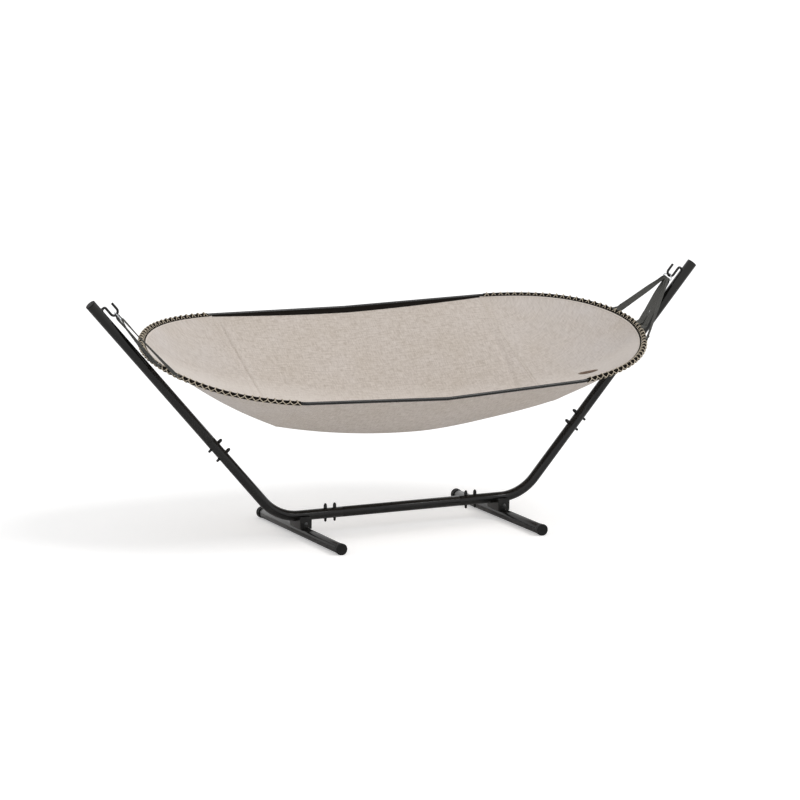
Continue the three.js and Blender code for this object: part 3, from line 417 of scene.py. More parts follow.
def hard_finish(name, base, patches, dark, pale, gloss, relief, stretch=(1, 1, 1)):
    """Hard surface in two shades by patches, with an uneven gloss and a fine relief"""
    finish = Finish(name, *base)
    place = finish.place(stretch)
    scale, detail, low, high = patches
    share = finish.spread(finish.grain(place, scale, detail), low, high)
    scale, detail, smooth, rough = gloss
    uneven = finish.spread(finish.grain(place, scale, detail), 0.3, 0.7, smooth, rough)
    finish.give(Base_Color=finish.blend(share, srgb(*dark), srgb(*pale)), Roughness=uneven)
    scale, detail, roughness, height, strength = relief
    finish.bump(finish.grain(place, scale, detail, roughness), height, strength)
    return finish.material


def powder_coat():
    """Satin charcoal paint, a little worn and dusty in patches"""
    return hard_finish(
        "powder_coat", (srgb(17, 16, 15), 0.16, 0, 0.36), (9, 3, 0.35, 0.7), (13, 12, 11), (21, 20, 18),
        (40, 4, 0.13, 0.21), (900, 2, 0.6, 0.00008, 0.3))


def dark_plastic():
    """Moulded black plastic with a fine spark-eroded grain"""
    return hard_finish(
        "dark_plastic", (srgb(17, 17, 16), 0.55, 0, 0.22), (60, 3, 0, 1), (14, 14, 13), (21, 21, 20),
        (25, 2, 0.42, 0.6), (1600, 2, 0.5, 0.00012, 0.4))


def bolt_cap():
    """Smooth moulded nylon of the bolt caps"""
    return hard_finish(
        "bolt_cap", (srgb(20, 20, 19), 0.4, 0, 0.3), (120, 2, 0, 1), (16, 16, 15), (26, 26, 25),
        (70, 3, 0.3, 0.48), (500, 2, 0.5, 0.0001, 0.25))


def zinc_steel():
    """Dark plated steel with faint drawn lines"""
    return hard_finish(
        "zinc_steel", (srgb(84, 85, 86), 0.42, 1), (30, 4, 0, 1), (66, 67, 68), (98, 99, 100),
        (60, 3, 0.28, 0.5), (400, 2, 0.5, 0.00005, 0.3), (1, 30, 1))


def chrome():
    """Bright plating, slightly scuffed where webbing and hook rub it"""
    finish = Finish("chrome", srgb(205, 208, 211), 0.12, 1)
    scuff = finish.grain(finish.place(), 180, 5, 0.7)
    worn = finish.spread(scuff, 0.4, 0.75)
    finish.give(
        Base_Color=finish.blend(worn, srgb(212, 215, 218), srgb(176, 179, 182)),
        Roughness=finish.spread(scuff, 0.35, 0.75, 0.08, 0.32))
    finish.bump(scuff, 0.00004, 0.3)
    return finish.material


def painted_low_light(finish, axes):
    """Share of painted light: a paler band along the low part of the bed's inner face, on faces turned up,
    which slants to the right end
    """
    facing = finish.node("SeparateXYZ", Vector=finish.node("TexCoord").outputs["Normal"]).outputs["Z"]
    past = finish.maths("MAXIMUM", finish.maths("SUBTRACT", axes["X"], 0.1), 0)
    slant = finish.maths("ADD", axes["Y"], finish.maths("MULTIPLY", past, 0.28))
    low, high = finish.spread(slant, -0.3, -0.02), finish.spread(slant, 0.06, 0.16, 0.48, 0)
    low = finish.maths("MULTIPLY", high, low)
    return finish.maths("MULTIPLY", finish.spread(facing, 0, 0.3), low)


def linen_cloth(name="linen_cloth", painted_light_share=0.0):
    """Undyed heathered linen with dark and light slubs both ways, paler in clouds towards the bed's ends"""
    finish = Finish(name, srgb(202, 191, 181), 0.92, 0, 0.2)
    threads, body = finish.place(own_map=True), finish.place()
    axes = finish.node("SeparateXYZ", Vector=body).outputs
    cloud = finish.spread(finish.grain(threads, 4, 3), 0.3, 0.7)
    colour = finish.blend(cloud, srgb(199, 188, 177), srgb(206, 196, 188))
    slubs = [
        finish.grain(finish.place(stretch, own_map=True), 1, 3, 0.7)
        for stretch in ((24, 105, 1), (200, 24, 1))]
    for slub in slubs:
        colour = finish.blend(finish.spread(slub, 0.5, 0.68, 0, 0.52), colour, srgb(168, 155, 142))
        colour = finish.blend(finish.spread(slub, 0.32, 0.5, 0.36, 0), colour, srgb(228, 219, 211))
    speck = finish.grain(threads, 240, 2, 0.7)
    colour = finish.blend(finish.spread(speck, 0.56, 0.72, 0, 0.4), colour, srgb(176, 164, 151))
    outwards = finish.spread(finish.maths("ABSOLUTE", axes["X"]), 0.62, 1.1, 0, 0.42)
    patches = finish.spread(finish.grain(body, 5, 2), 0.35, 0.65, 0.25, 1)
    colour = finish.blend(finish.maths("MULTIPLY", outwards, patches), colour, srgb(215, 210, 209))
    # Painted light: the cloth is blended paler along its low band
    colour = finish.blend(painted_low_light(finish, axes), colour, srgb(228, 220, 212))
    # Painted light: a paler copy of the linen, for the light on the hems' flat faces
    if painted_light_share:
        colour = finish.blend(painted_light_share, colour, srgb(224, 215, 206))
    finish.give(Base_Color=colour, Sheen_Weight=0.15, Sheen_Roughness=0.6)
    warp, weft = (finish.stripes(threads, direction, 196) for direction in "XY")
    uneven = finish.maths("MULTIPLY", finish.maths("MAXIMUM", *slubs), 1.5)
    finish.bump(finish.maths("ADD", finish.maths("MULTIPLY", warp, weft), uneven), 0.0004, 0.6)
    return finish.material


def lacing_cord():
    """Twisted natural cord, darker in the hollows of its twist"""
    finish = Finish("lacing_cord", srgb(214, 203, 184), 0.85, 0, 0.25)
    place = finish.place()
    twist = finish.stripes(place, "DIAGONAL", 90, 1.5)
    fibre = finish.grain(place, 900, 3, 0.7)
    colour = finish.blend(finish.spread(twist, 0.1, 0.8), srgb(172, 159, 139), srgb(220, 209, 190))
    colour = finish.blend(finish.spread(fibre, 0.35, 0.75, 0, 0.5), colour, srgb(196, 184, 165))
    finish.give(Base_Color=colour)
    finish.bump(finish.maths("ADD", twist, fibre), 0.0004, 0.6)
    return finish.material


def webbing():
    """Grey webbing with fine ribs across and chain lines along"""
    finish = Finish("webbing", srgb(85, 85, 82), 0.7, 0, 0.3)
    place = finish.place(own_map=True)
    ribs = finish.stripes(place, "X", 160)
    chains = finish.maths("MULTIPLY", finish.stripes(place, "Y", 110), 0.7)
    colour = finish.blend(finish.grain(place, 300, 3), srgb(74, 74, 71), srgb(98, 98, 94))
    finish.give(
        Base_Color=finish.blend(finish.spread(ribs, 0.0, 0.5, 0.5, 0.0), colour, srgb(52, 52, 50)),
        Roughness=finish.spread(ribs, 0, 1, 0.8, 0.6))
    finish.bump(finish.maths("ADD", ribs, chains), 0.0005, 0.7)
    return finish.material


def hem_tape():
    """Black-brown woven binding tape"""
    finish = Finish("hem_tape", srgb(22, 18, 14), 0.9, 0, 0.06)
    place = finish.place(own_map=True)
    finish.give(
        Base_Color=finish.blend(finish.grain(place, 220, 3), srgb(15, 12, 9), srgb(28, 24, 20)),
        Roughness=finish.spread(finish.grain(place, 30, 2), 0.3, 0.7, 0.78, 0.95))
    finish.bump(finish.stripes(place, "DIAGONAL", 140), 0.0003, 0.6)
    return finish.material


def leather():
    """Vegetable-tanned brown leather with pores and darker handling marks"""
    finish = Finish("leather", srgb(104, 80, 62), 0.6, 0, 0.4)
    place = finish.place()
    cells = finish.node("TexVoronoi", {"feature": "DISTANCE_TO_EDGE"}, Vector=place, Scale=900)
    pores = finish.spread(cells.outputs["Distance"], 0.0, 0.25)
    cloud = finish.grain(place, 45, 4)
    colour = finish.blend(finish.spread(cloud, 0.3, 0.7), srgb(82, 61, 46), srgb(124, 98, 76))
    finish.give(
        Base_Color=finish.blend(finish.spread(pores, 0.0, 1.0, 0.35, 0.0), colour, srgb(56, 41, 31)),
        Roughness=finish.spread(cloud, 0.3, 0.7, 0.68, 0.48))
    finish.bump(pores, 0.00025, 0.5)
    return finish.material


# The object's own finishes, by material slot; the hems' paler linen is a finish of its own
finishes = {make.__name__: make() for make in (
    powder_coat, dark_plastic, bolt_cap, zinc_steel, chrome, linen_cloth, lacing_cord, webbing,
    hem_tape, leather)}
# The hems' linen is painted paler for the light on their flat faces
finishes["linen_hem"] = linen_cloth("linen_hem", 0.6)


# Making pieces

def keep_piece(name, mesh, finish, body, nodes=()):
    """Put a finished mesh in the scene as a piece that rides on a body and stands for CAD nodes"""
    for face in mesh.polygons:
        face.use_smooth = True
    mesh.set_sharp_from_angle(angle=SHARP_FROM)
    mesh.materials.clear()
    mesh.materials.append(finishes[finish])
    piece = put(name, mesh)
    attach(piece, body)
    if nodes:
        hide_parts(*nodes)
    return piece


def as_mesh(shape, name, place=Matrix.Identity(4)):
    bmesh.ops.transform(shape, matrix=place, verts=shape.verts)
    mesh = bpy.data.meshes.new(name)
    shape.to_mesh(mesh)
    shape.free()
    return mesh


def keep_shape(name, shape, place, *kept):
    return keep_piece(name, as_mesh(shape, name, place), *kept)


def keep_rod(name, points, radius, sides, place, *kept, rounding=0.0, **options):
    """Keep a round rod, tube or cord drawn along points; rounding eases its two ends"""
    if rounding:
        points, options["shares"] = rounded_ends(points, radius, rounding)
    mesh = drawn(name, points, radius, sides, **options)
    mesh.transform(place)
    return keep_piece(name, mesh, *kept)


def keep_sheet(name, grid, thickness, edge, *kept):
    """Keep a cloth, tape or strap over rows of points"""
    return thicken(keep_piece(name, sheet_mesh(name, grid), *kept), thickness, edge)


def step_on(piece, kind, **settings):
    """Add a modifier to a piece"""
    step = piece.modifiers.new(kind.lower(), kind)
    for key, value in settings.items():
        setattr(step, key, value)


def ease(piece, width, angle=SHARP_TURN):
    step_on(piece, "BEVEL", width=width, segments=2, limit_method="ANGLE", angle_limit=angle)


def thicken(piece, thickness, edge=0.0):
    """Give a sheet its thickness about its own middle, with softly rounded edges"""
    step_on(piece, "SOLIDIFY", thickness=thickness, offset=0)
    if edge:
        ease(piece, edge, SHEET_TURN)
    return piece


def close_up(shape):
    """Join the points that lie on one another and turn all faces outwards"""
    bmesh.ops.remove_doubles(shape, verts=shape.verts, dist=JOIN_GAP)
    bmesh.ops.recalc_face_normals(shape, faces=shape.faces)
    return shape


def turned(profile, sides=TUBE_SIDES, closed=False):
    """Shape turned about X from a profile of (place along X, radius)"""
    shape = bmesh.new()
    points = [shape.verts.new((along, 0, radius)) for along, radius in profile]
    pairs = list(zip(points, points[1:]))
    if closed:
        pairs.append((points[-1], points[0]))
    edges = [shape.edges.new(pair) for pair in pairs]
    bmesh.ops.spin(
        shape, geom=points + edges, cent=(0, 0, 0), axis=(1, 0, 0),
        angle=2 * math.pi, steps=sides, use_merge=True)
    return close_up(shape)


def round_edges(shape, edges, width, steps, clamp=False):
    bmesh.ops.bevel(
        shape, geom=edges, offset=width, segments=steps, profile=0.5, affect="EDGES", material=-1,
        clamp_overlap=clamp)


def soften(shape, width, angle=math.radians(40)):
    """Round the sharp edges of a shape"""
    sharp = [edge for edge in shape.edges if len(edge.link_faces) == 2 and edge.calc_face_angle() > angle]
    round_edges(shape, sharp, width, 2, clamp=True)
    return shape


def dome(base, height, radius, steps=8):
    """Quarter oval of a turned profile, from its full radius to the axis"""
    return [
        (base + height * math.sin(angle), radius * math.cos(angle))
        for angle in steps_between(0, math.pi / 2, steps)[:-1]
    ] + [(base + height, 0)]


def drawn(name, points, radius, sides, closed=False, capped=True, shares=None):
    """Mesh of a round rod, tube skin or cord along points; shares scale its radius at each"""
    curve = bpy.data.curves.new(name, "CURVE")
    curve.dimensions = "3D"
    curve.bevel_depth = radius
    curve.bevel_resolution = (sides - 4) // 2
    curve.use_fill_caps = capped and not closed
    spline = curve.splines.new("POLY")
    spline.points.add(len(points) - 1)
    for index, point in enumerate(points):
        spline.points[index].co = (*point, 1)
        spline.points[index].radius = shares[index] if shares else 1
    spline.use_cyclic_u = closed
    holder = bpy.data.objects.new(name, curve)
    mesh = bpy.data.meshes.new_from_object(holder)
    bpy.data.objects.remove(holder)
    bpy.data.curves.remove(curve)
    shape = bmesh.new()
    shape.from_mesh(mesh)
    close_up(shape).to_mesh(mesh)
    shape.free()
    mesh.name = name
    return mesh


def rounded_ends(points, radius, edge):
    """Points and radius shares of a rod whose two ends are rounded over"""
    turn = [
        (edge * (1 - math.sin(angle)), 1 - edge * (1 - math.cos(angle)) / radius)
        for angle in steps_between(0, math.pi / 2, 4)]
    first = (points[1] - points[0]).normalized()
    last = (points[-2] - points[-1]).normalized()
    whole = [(points[0] + first * along, share) for along, share in reversed(turn)]
    whole += [(point, 1) for point in points[1:-1]]
    whole += [(points[-1] + last * along, share) for along, share in turn]
    return tuple(zip(*whole))


def arc(centre_x, centre_z, radius, start, end, steps):
    return [
        Vector((centre_x + radius * math.cos(angle), 0, centre_z + radius * math.sin(angle)))
        for angle in steps_between(start, end, steps)
    ]


def carve(mesh, *tools):
    """Cut tool meshes out of a mesh"""
    block = put("block", mesh)
    cutters = [put("cutter", tool) for tool in tools]
    for cutter in cutters:
        step_on(block, "BOOLEAN", operation="DIFFERENCE", solver="EXACT", object=cutter)
    bpy.context.view_layer.update()
    result = bpy.data.meshes.new_from_object(block.evaluated_get(bpy.context.evaluated_depsgraph_get()))
    for holder in [block, *cutters]:
        bpy.data.objects.remove(holder)
    return result


def spaced(points, pitch):
    """Even places along a line of points, each with the line's direction there"""
    places = []
    ahead = pitch / 2
    for before, after in zip(points, points[1:]):
        span = (after - before).length
        while ahead < span:
            places.append((before.lerp(after, ahead / span), (after - before).normalized()))
            ahead += pitch
        ahead -= span
    return places


def sew(shape, line, outwards, lift, pitch=STITCH_PITCH, length=STITCH_LENGTH):
    """Row of raised thread stitches along a line, lifted off the cloth along the outward direction;
    they are made a few at a time, because each one takes longer in a shape that holds many"""
    places = list(enumerate(spaced(line, pitch)))
    for first in range(0, len(places), STITCHES_AT_ONCE):
        some = bmesh.new()
        for index, (centre, ahead) in places[first:first + STITCHES_AT_ONCE]:
            out = outwards(index, ahead)
            out = (out - ahead * out.dot(ahead)).normalized()
            turn = Matrix((ahead, out.cross(ahead), out)).transposed().to_4x4()
            grain = Matrix.Diagonal((length / 2, STITCH_THREAD, STITCH_THREAD, 1))
            place = Matrix.Translation(centre + out * lift) @ turn @ grain
            bmesh.ops.create_uvsphere(some, u_segments=6, v_segments=4, radius=1, matrix=place)
        add_mesh(shape, as_mesh(some, "stitches"))


def add_mesh(shape, mesh):
    """Add a mesh to a shape and let go of it"""
    shape.from_mesh(mesh)
    bpy.data.meshes.remove(mesh)


# Stand

ALONG_Y = Matrix.Rotation(math.pi / 2, 4, "Z")
UPRIGHT = Matrix.Rotation(-math.pi / 2, 4, "Y")
HALF_TURN = Matrix.Rotation(math.pi, 4, "Z")
stand_places = {"right": Matrix.Translation((0, hinge.y, BEAM_Z))}
stand_places["left"] = stand_places["right"] @ HALF_TURN


def foot_place(side, height):
    return Matrix.Translation((FOOT_X if side == "right" else -FOOT_X, hinge.y, height))


def arm_place(side):
    bend = Matrix.Translation((BEND_X, 0, 0))
    return stand_places[side] @ bend @ Matrix.Rotation(-ARM_ANGLE, 4, "Y")


def centre_beam():
    seam = BEND_X - ELBOW_BEAM_LEG - SEAT_GAP
    end = seam + BEAM_SPIGOT
    half = [(seam, TUBE_RADIUS), (seam, SPIGOT_RADIUS), (end, SPIGOT_RADIUS), (end, SPIGOT_BORE)]
    mirrored = [(-along, radius) for along, radius in reversed(half)]
    tube = soften(turned(mirrored + half, closed=True), TUBE_EDGE)
    keep_shape("centre_beam_tube", tube, stand_places["right"], "powder_coat", "stand", ["centre_beam"])


def elbow(side):
    tangent = BEND_RADIUS * math.tan(ARM_ANGLE / 2)
    points = [Vector((BEND_X - ELBOW_BEAM_LEG, 0, 0))]
    down = -math.pi / 2
    points += arc(BEND_X - tangent, BEND_RADIUS, BEND_RADIUS, down, down + ARM_ANGLE, BEND_STEPS)
    points.append(Vector((
        BEND_X + ELBOW_ARM_LEG * math.cos(ARM_ANGLE), 0, ELBOW_ARM_LEG * math.sin(ARM_ANGLE))))
    piece = keep_rod(
        f"{side}_elbow_tube", points, TUBE_RADIUS, TUBE_SIDES, stand_places[side],
        "powder_coat", "stand", [f"{side}_elbow"], capped=False)
    step_on(piece, "SOLIDIFY", thickness=TUBE_WALL, offset=-1)
    ease(piece, TUBE_EDGE)


def arm(side):
    seam = ELBOW_ARM_LEG + SEAT_GAP
    end = seam - ARM_SPIGOT
    profile = [
        (end, SPIGOT_BORE), (end, SPIGOT_RADIUS), (seam, SPIGOT_RADIUS), (seam, TUBE_RADIUS),
        (ARM_RUN, TUBE_RADIUS), (ARM_RUN, TUBE_BORE), (seam + TUBE_WALL, TUBE_BORE), (seam, SPIGOT_BORE),
    ]
    tube = soften(turned(profile, closed=True), TUBE_EDGE)
    keep_shape(f"{side}_arm_tube", tube, arm_place(side), "powder_coat", "stand", [f"{side}_arm"])


def arm_plug(side):
    """Moulded plug: tapered shank in the tube, low domed face with an eased rim"""
    seat = ARM_RUN + SEAT_GAP
    shank = TUBE_BORE - SEAT_GAP
    deep = seat - PLUG_SHANK
    profile = [(deep, 0), (deep, shank - PLUG_TAPER), (deep + PLUG_TAPER, shank), (seat, shank)]
    profile += [(seat, TUBE_RADIUS - PLUG_EDGE), (seat + PLUG_EDGE, TUBE_RADIUS)]
    profile += dome(seat + PLUG_RIM, PLUG_DOME, TUBE_RADIUS, 10)
    keep_shape(
        f"{side}_plug", turned(profile), arm_place(side), "dark_plastic", "stand", [f"{side}_arm_plug"])


def hook(side):
    """Bent rod with a ball-rounded tip and a weld bead round its root"""
    neck_x = ARM_RUN - HOOK_ROOT - HOOK_NECK_RADIUS
    neck_z = HOOK_BACK_OFFSET - HOOK_NECK_RADIUS
    bottom_x = ARM_RUN - HOOK_U_DEPTH
    bottom_z = HOOK_BACK_OFFSET + HOOK_U_RADIUS
    points = [Vector((ARM_RUN - HOOK_ROOT, 0, TUBE_RADIUS - TUBE_WALL / 2))]
    points += arc(neck_x, neck_z, HOOK_NECK_RADIUS, 0, math.pi / 2, 12)
    points += arc(bottom_x, bottom_z, HOOK_U_RADIUS, -math.pi / 2, -1.5 * math.pi, 32)
    points.append(Vector((ARM_RUN - HOOK_TIP, 0, bottom_z + HOOK_U_RADIUS)))
    keep_rod(
        f"{side}_hook_rod", points, HOOK_ROD, ROD_SIDES, arm_place(side), "powder_coat", "stand",
        [f"{side}_hook"], rounding=HOOK_TIP_ROUND)
    bead = turned([(along * MM, HOOK_ROD + past * MM) for along, past in WELD_BEAD], 40, closed=True)
    for point in bead.verts:
        point.co.x += WELD_RIPPLE * math.sin(WELD_RIPPLES * math.atan2(point.co.y, point.co.z))
    root = Matrix.Translation((ARM_RUN - HOOK_ROOT, 0, TUBE_RADIUS - WELD_SINK))
    keep_shape(f"{side}_hook_weld", bead, arm_place(side) @ root @ UPRIGHT, "powder_coat", "stand")


def joint_bolts(side):
    """Bullet-capped bolt and slim cap nut at each place of the tube joints"""
    face = TUBE_RADIUS + SEAT_GAP
    beam_bolt = BEND_X - ELBOW_BEAM_LEG + BOLT_FROM_SEAM
    arm_bolt = ELBOW_ARM_LEG - BOLT_FROM_SEAM
    neck = BOLT_CAP_RADIUS - BOLT_CAP_STEP
    rim = face + BOLT_CAP_RIM
    cap = [(-face - BOLT_PAST, 0), (-face - BOLT_PAST, BOLT_RADIUS), (face, BOLT_RADIUS)]
    cap += [(face, BOLT_CAP_RADIUS), (rim, BOLT_CAP_RADIUS), (rim + BOLT_CAP_SLOPE, neck)]
    cap += [(face + BOLT_CAP_STEM, neck)]
    cap += dome(face + BOLT_CAP_STEM, BOLT_CAP_DOME, neck)[1:]
    bore = BOLT_RADIUS + SEAT_GAP
    flange = NUT_RADIUS + NUT_FLANGE
    bottom = face + BOLT_PAST + SEAT_GAP
    slim = [(bottom, 0), (bottom, bore), (face, bore), (face, flange), (face + NUT_FLANGE, flange)]
    slim += [(face + NUT_FLANGE + NUT_SLOPE, NUT_RADIUS)] + dome(face + NUT_STEM, NUT_DOME, NUT_RADIUS)
    slim = [(-along, radius) for along, radius in slim]
    for name, place, along in (
        ("beam_inner", stand_places[side], beam_bolt),
        ("beam_outer", stand_places[side], beam_bolt + BEAM_BOLT_PITCH),
        ("arm_upper", arm_place(side), arm_bolt),
        ("arm_lower", arm_place(side), arm_bolt - ARM_BOLT_PITCH),
    ):
        upright = place @ Matrix.Translation((along, 0, 0)) @ UPRIGHT
        for kind, profile, node in (("capped_bolt", cap, "bolt"), ("nut_cap", slim, "cap_nut")):
            shape = soften(turned(profile, BOLT_SIDES), BOLT_EDGE)
            keep_shape(
                f"{side}_{name}_{kind}", shape, upright, "bolt_cap", "stand", [f"{side}_{name}_{node}"])


def foot(side):
    centre = foot_place(side, FOOT_Z)
    end = FOOT_HALF_LENGTH - FOOT_CAP_END - SEAT_GAP
    profile = [(-end, TUBE_BORE), (-end, TUBE_RADIUS), (end, TUBE_RADIUS), (end, TUBE_BORE)]
    tube = soften(turned(profile, closed=True), FOOT_EDGE)
    keep_shape(f"{side}_foot_tube", tube, centre @ ALONG_Y, "powder_coat", "stand", [f"{side}_foot"])
    for name, turn in (("back", Matrix.Identity(4)), ("front", HALF_TURN)):
        keep_shape(
            f"{side}_{name}_end_cap", foot_cap(), centre @ turn @ ALONG_Y, "dark_plastic", "stand",
            [f"{side}_{name}_foot_cap"])


def foot_cap():
    """Flared cup over the tube's end, cut flat where it stands on the floor"""
    face = FOOT_HALF_LENGTH
    mouth = face - FOOT_CAP_END - FOOT_CAP_SKIRT
    bore = TUBE_RADIUS + SEAT_GAP
    lip = bore + FOOT_CAP_WALL
    profile = [(face - FOOT_CAP_END, 0), (face - FOOT_CAP_END, bore), (mouth, bore), (mouth, lip)]
    profile += [
        (face - FOOT_FLARE_FROM + share * FOOT_FLARE,
         mix(lip, FOOT_CAP_RADIUS, (1 - math.cos(math.pi * share)) / 2))
        for share in steps_between(0, 1, 6)]
    profile += [
        (face - FOOT_CAP_ROUND * (1 - math.sin(angle)),
         FOOT_CAP_RADIUS - FOOT_CAP_ROUND * (1 - math.cos(angle)))
        for angle in steps_between(0, math.pi / 2, 5)]
    profile += [(face - FOOT_DISH, FOOT_CAP_RADIUS - FOOT_DISH_RIM), (face - FOOT_DISH, 0)]
    cap = soften(turned(profile), FOOT_CAP_EDGE, math.radians(60))
    whole = cap.verts[:] + cap.edges[:] + cap.faces[:]
    sliced = bmesh.ops.bisect_plane(
        cap, geom=whole, plane_co=(0, 0, -FOOT_Z), plane_no=(0, 0, -1), clear_outer=True)
    rim_edges = [part for part in sliced["geom_cut"] if isinstance(part, bmesh.types.BMEdge)]
    bmesh.ops.holes_fill(cap, edges=rim_edges, sides=0)
    return cap


def box(width, depth, height, centre_z):
    shape = bmesh.new()
    bmesh.ops.create_cube(shape, size=1)
    bmesh.ops.scale(shape, vec=(width, depth, height), verts=shape.verts)
    bmesh.ops.translate(shape, vec=(0, 0, centre_z), verts=shape.verts)
    return shape


def round_bar(length, place):
    """Bar that leaves a seat for a tube where it is cut out"""
    seat = TUBE_RADIUS + SEAT_GAP
    shape = turned([(-length / 2, 0), (-length / 2, seat), (length / 2, seat), (length / 2, 0)])
    return as_mesh(shape, "round_bar", place)


def saddle(side):
    """Bent plate box, coped over the foot and notched for the beam, with its cross bolt and nut"""
    beam = BEAM_Z - FOOT_Z
    top = beam + SADDLE_BEAM_GRIP
    shape = box(SADDLE_WIDTH, SADDLE_DEPTH, top - SADDLE_FOOT_GRIP, (top + SADDLE_FOOT_GRIP) / 2)
    shoulders = [
        edge for edge in shape.edges
        if all(point.co.z > beam for point in edge.verts)
        and abs(edge.verts[0].co.x - edge.verts[1].co.x) < MM
    ]
    round_edges(shape, shoulders, SADDLE_CORNER, 6)
    upright = [edge for edge in shape.edges if abs(edge.verts[0].co.z - edge.verts[1].co.z) > SADDLE_TALL]
    round_edges(shape, upright, SADDLE_BEND, 4)
    walls = 2 * SADDLE_WALL
    hollow = box(SADDLE_WIDTH - walls, SADDLE_DEPTH - walls, 2 * top, top)
    mouth = box(2 * SADDLE_WIDTH, 2 * (TUBE_RADIUS + SEAT_GAP), top, beam + top / 2)
    name = f"{side}_saddle_bracket"
    mesh = carve(
        as_mesh(shape, name),
        as_mesh(hollow, "hollow"),
        as_mesh(mouth, "mouth"),
        round_bar(2 * SADDLE_DEPTH, ALONG_Y),
        round_bar(2 * SADDLE_WIDTH, Matrix.Translation((0, 0, beam))),
    )
    mesh.transform(foot_place(side, FOOT_Z))
    mesh.name = name
    ease(keep_piece(name, mesh, "powder_coat", "stand", [f"{side}_saddle"]), SADDLE_EDGE)
    face = SADDLE_DEPTH / 2 + SEAT_GAP
    end = face + TIE_PAST
    head = [
        (-along, radius) for along, radius in reversed(dome(face + TIE_HEAD_RIM, TIE_DOME, TIE_HEAD_RADIUS))]
    bolt = head + [(-face, TIE_HEAD_RADIUS), (-face, TIE_RADIUS), (end, TIE_RADIUS), (end, 0)]
    bore = TIE_RADIUS + SEAT_GAP
    nut = [(end + SEAT_GAP, 0), (end + SEAT_GAP, bore), (face, bore), (face, TIE_HEAD_RADIUS)]
    nut += dome(end, TIE_DOME, TIE_HEAD_RADIUS)
    for kind, profile in (("bolt", bolt), ("nut", nut)):
        keep_shape(
            f"{side}_tie_{kind}", soften(turned(profile, BOLT_SIDES), TIE_EDGE),
            foot_place(side, TIE_Z) @ ALONG_Y, "zinc_steel", "stand", [f"{side}_saddle_{kind}"])


# Bed

bed_place = Matrix.Translation(hinge) @ Matrix.Rotation(SWING_AT_REST, 4, "X")
level = Vector((math.cos(SWING_AT_REST), -math.sin(SWING_AT_REST)))


def smooth(share):
    """Share held between 0 and 1 and eased at both ends"""
    share = min(max(share, 0), 1)
    return share * share * (3 - 2 * share)


def upper_side(first, second):
    """Direction square to two others that points up"""
    normal = first.cross(second)
    return -normal if normal.z < 0 else normal


def rim_width(x):
    return RIM_HALF_WIDTH * (1 - (abs(x) / RIM_HALF_LENGTH) ** RIM_LENGTH_POWER) ** (1 / RIM_WIDTH_POWER)


def rim_height(x):
    return RIM_END_LIFT * (x / RIM_HALF_LENGTH) ** 2 - RIM_DROP


def rail_spot(x):
    """Distance across and height of a side rail: two straight runs, then the line of the rim's ends"""
    if abs(x) > SEAM_X:
        return rim_width(x), rim_height(x)
    run = abs(x) / SEAM_X
    return mix(RIM_HALF_WIDTH, rim_width(SEAM_X), run), mix(-RIM_DROP, rim_height(SEAM_X), run)


class RimEnd:
    """End of the rim, from the back joint (share 0) round to the front joint (share 1)"""

    def __init__(self, side):
        self.sign = 1 if side == "right" else -1
        reach = math.acos((RIM_JOINT_X / RIM_HALF_LENGTH) ** (RIM_LENGTH_POWER / 2))
        self.samples = [self.at_angle(angle) for angle in steps_between(reach, -reach, RIM_SAMPLES)]
        self.lengths = runs(self.samples)
        self.length = self.lengths[-1]
        self.clear = 2 * CORD_RADIUS / self.length
        self.keel = self.share_across(KEEL_RIM_ACROSS)

    def at_angle(self, angle):
        x = self.sign * RIM_HALF_LENGTH * math.cos(angle) ** (2 / RIM_LENGTH_POWER)
        across = abs(math.sin(angle)) ** (2 / RIM_WIDTH_POWER) * RIM_HALF_WIDTH
        return Vector((x, math.copysign(across, angle), rim_height(x)))

    def point(self, share):
        target = min(max(share, 0), 1) * self.length
        index = min(max(bisect.bisect_right(self.lengths, target), 1), RIM_SAMPLES)
        before, after = self.lengths[index - 1], self.lengths[index]
        return self.samples[index - 1].lerp(self.samples[index], (target - before) / (after - before))

    def frame_at(self, share):
        """Centre of the tube, its run, and its outward and upward directions"""
        run = (self.point(share + RIM_PROBE) - self.point(share - RIM_PROBE)).normalized()
        outward = Vector((run.y, -run.x, 0)).normalized() * -self.sign
        return self.point(share), run, outward, upper_side(run, outward).normalized()

    def share_across(self, across):
        low, high = 0.0, 1.0
        for _ in range(HALVINGS):
            middle = (low + high) / 2
            if self.point(middle).y > across:
                low = middle
            else:
                high = middle
        return low


rim_ends = {side: RimEnd(side) for side in ("left", "right")}


def bezier(corners, share):
    first, second, third, fourth = corners
    rest = 1 - share
    return (first * rest ** 3 + second * 3 * rest ** 2 * share
            + third * 3 * rest * share ** 2 + fourth * share ** 3)


def cloth_legs(x):
    """Back and front legs of the middle panel's section, each from its rail down to the keel"""
    middle = 1 - (x / SEAM_X) ** 2
    keel = KEEL_SEAM.lerp(KEEL_MID, middle) + Vector((0, KEEL_RIGHT_RISE * smooth(x / KEEL_RISE_RUN)))
    rounding = mix(KEEL_SEAM_ROUND, KEEL_MID_ROUND, middle)
    width, height = rail_spot(x)
    legs = []
    for across in (1, -1):
        rail = Vector((across * width, height))
        edge = rail + (keel - rail).normalized() * (RIM_RADIUS + SEAT_GAP)
        shoulder = edge + (keel - edge) / 3 - Vector((0, LEG_SAG))
        legs.append((edge, shoulder, keel + level * across * rounding, keel))
    return legs


def crease(x, share):
    """Height of the cloth's soft creases over its even shape, all inside the panel and clear of its edges"""
    height = 0.0
    for (from_x, from_share), (to_x, to_share), depth, width in CREASES:
        along = min(max((share - from_share) / (to_share - from_share), 0), 1)
        aside = abs(x - mix(from_x, to_x, along))
        past = max(from_share - share, share - to_share, 0) / CREASE_FADE
        height += depth * math.exp(-((aside / width) ** 2)) * math.exp(-past * past)
    return height


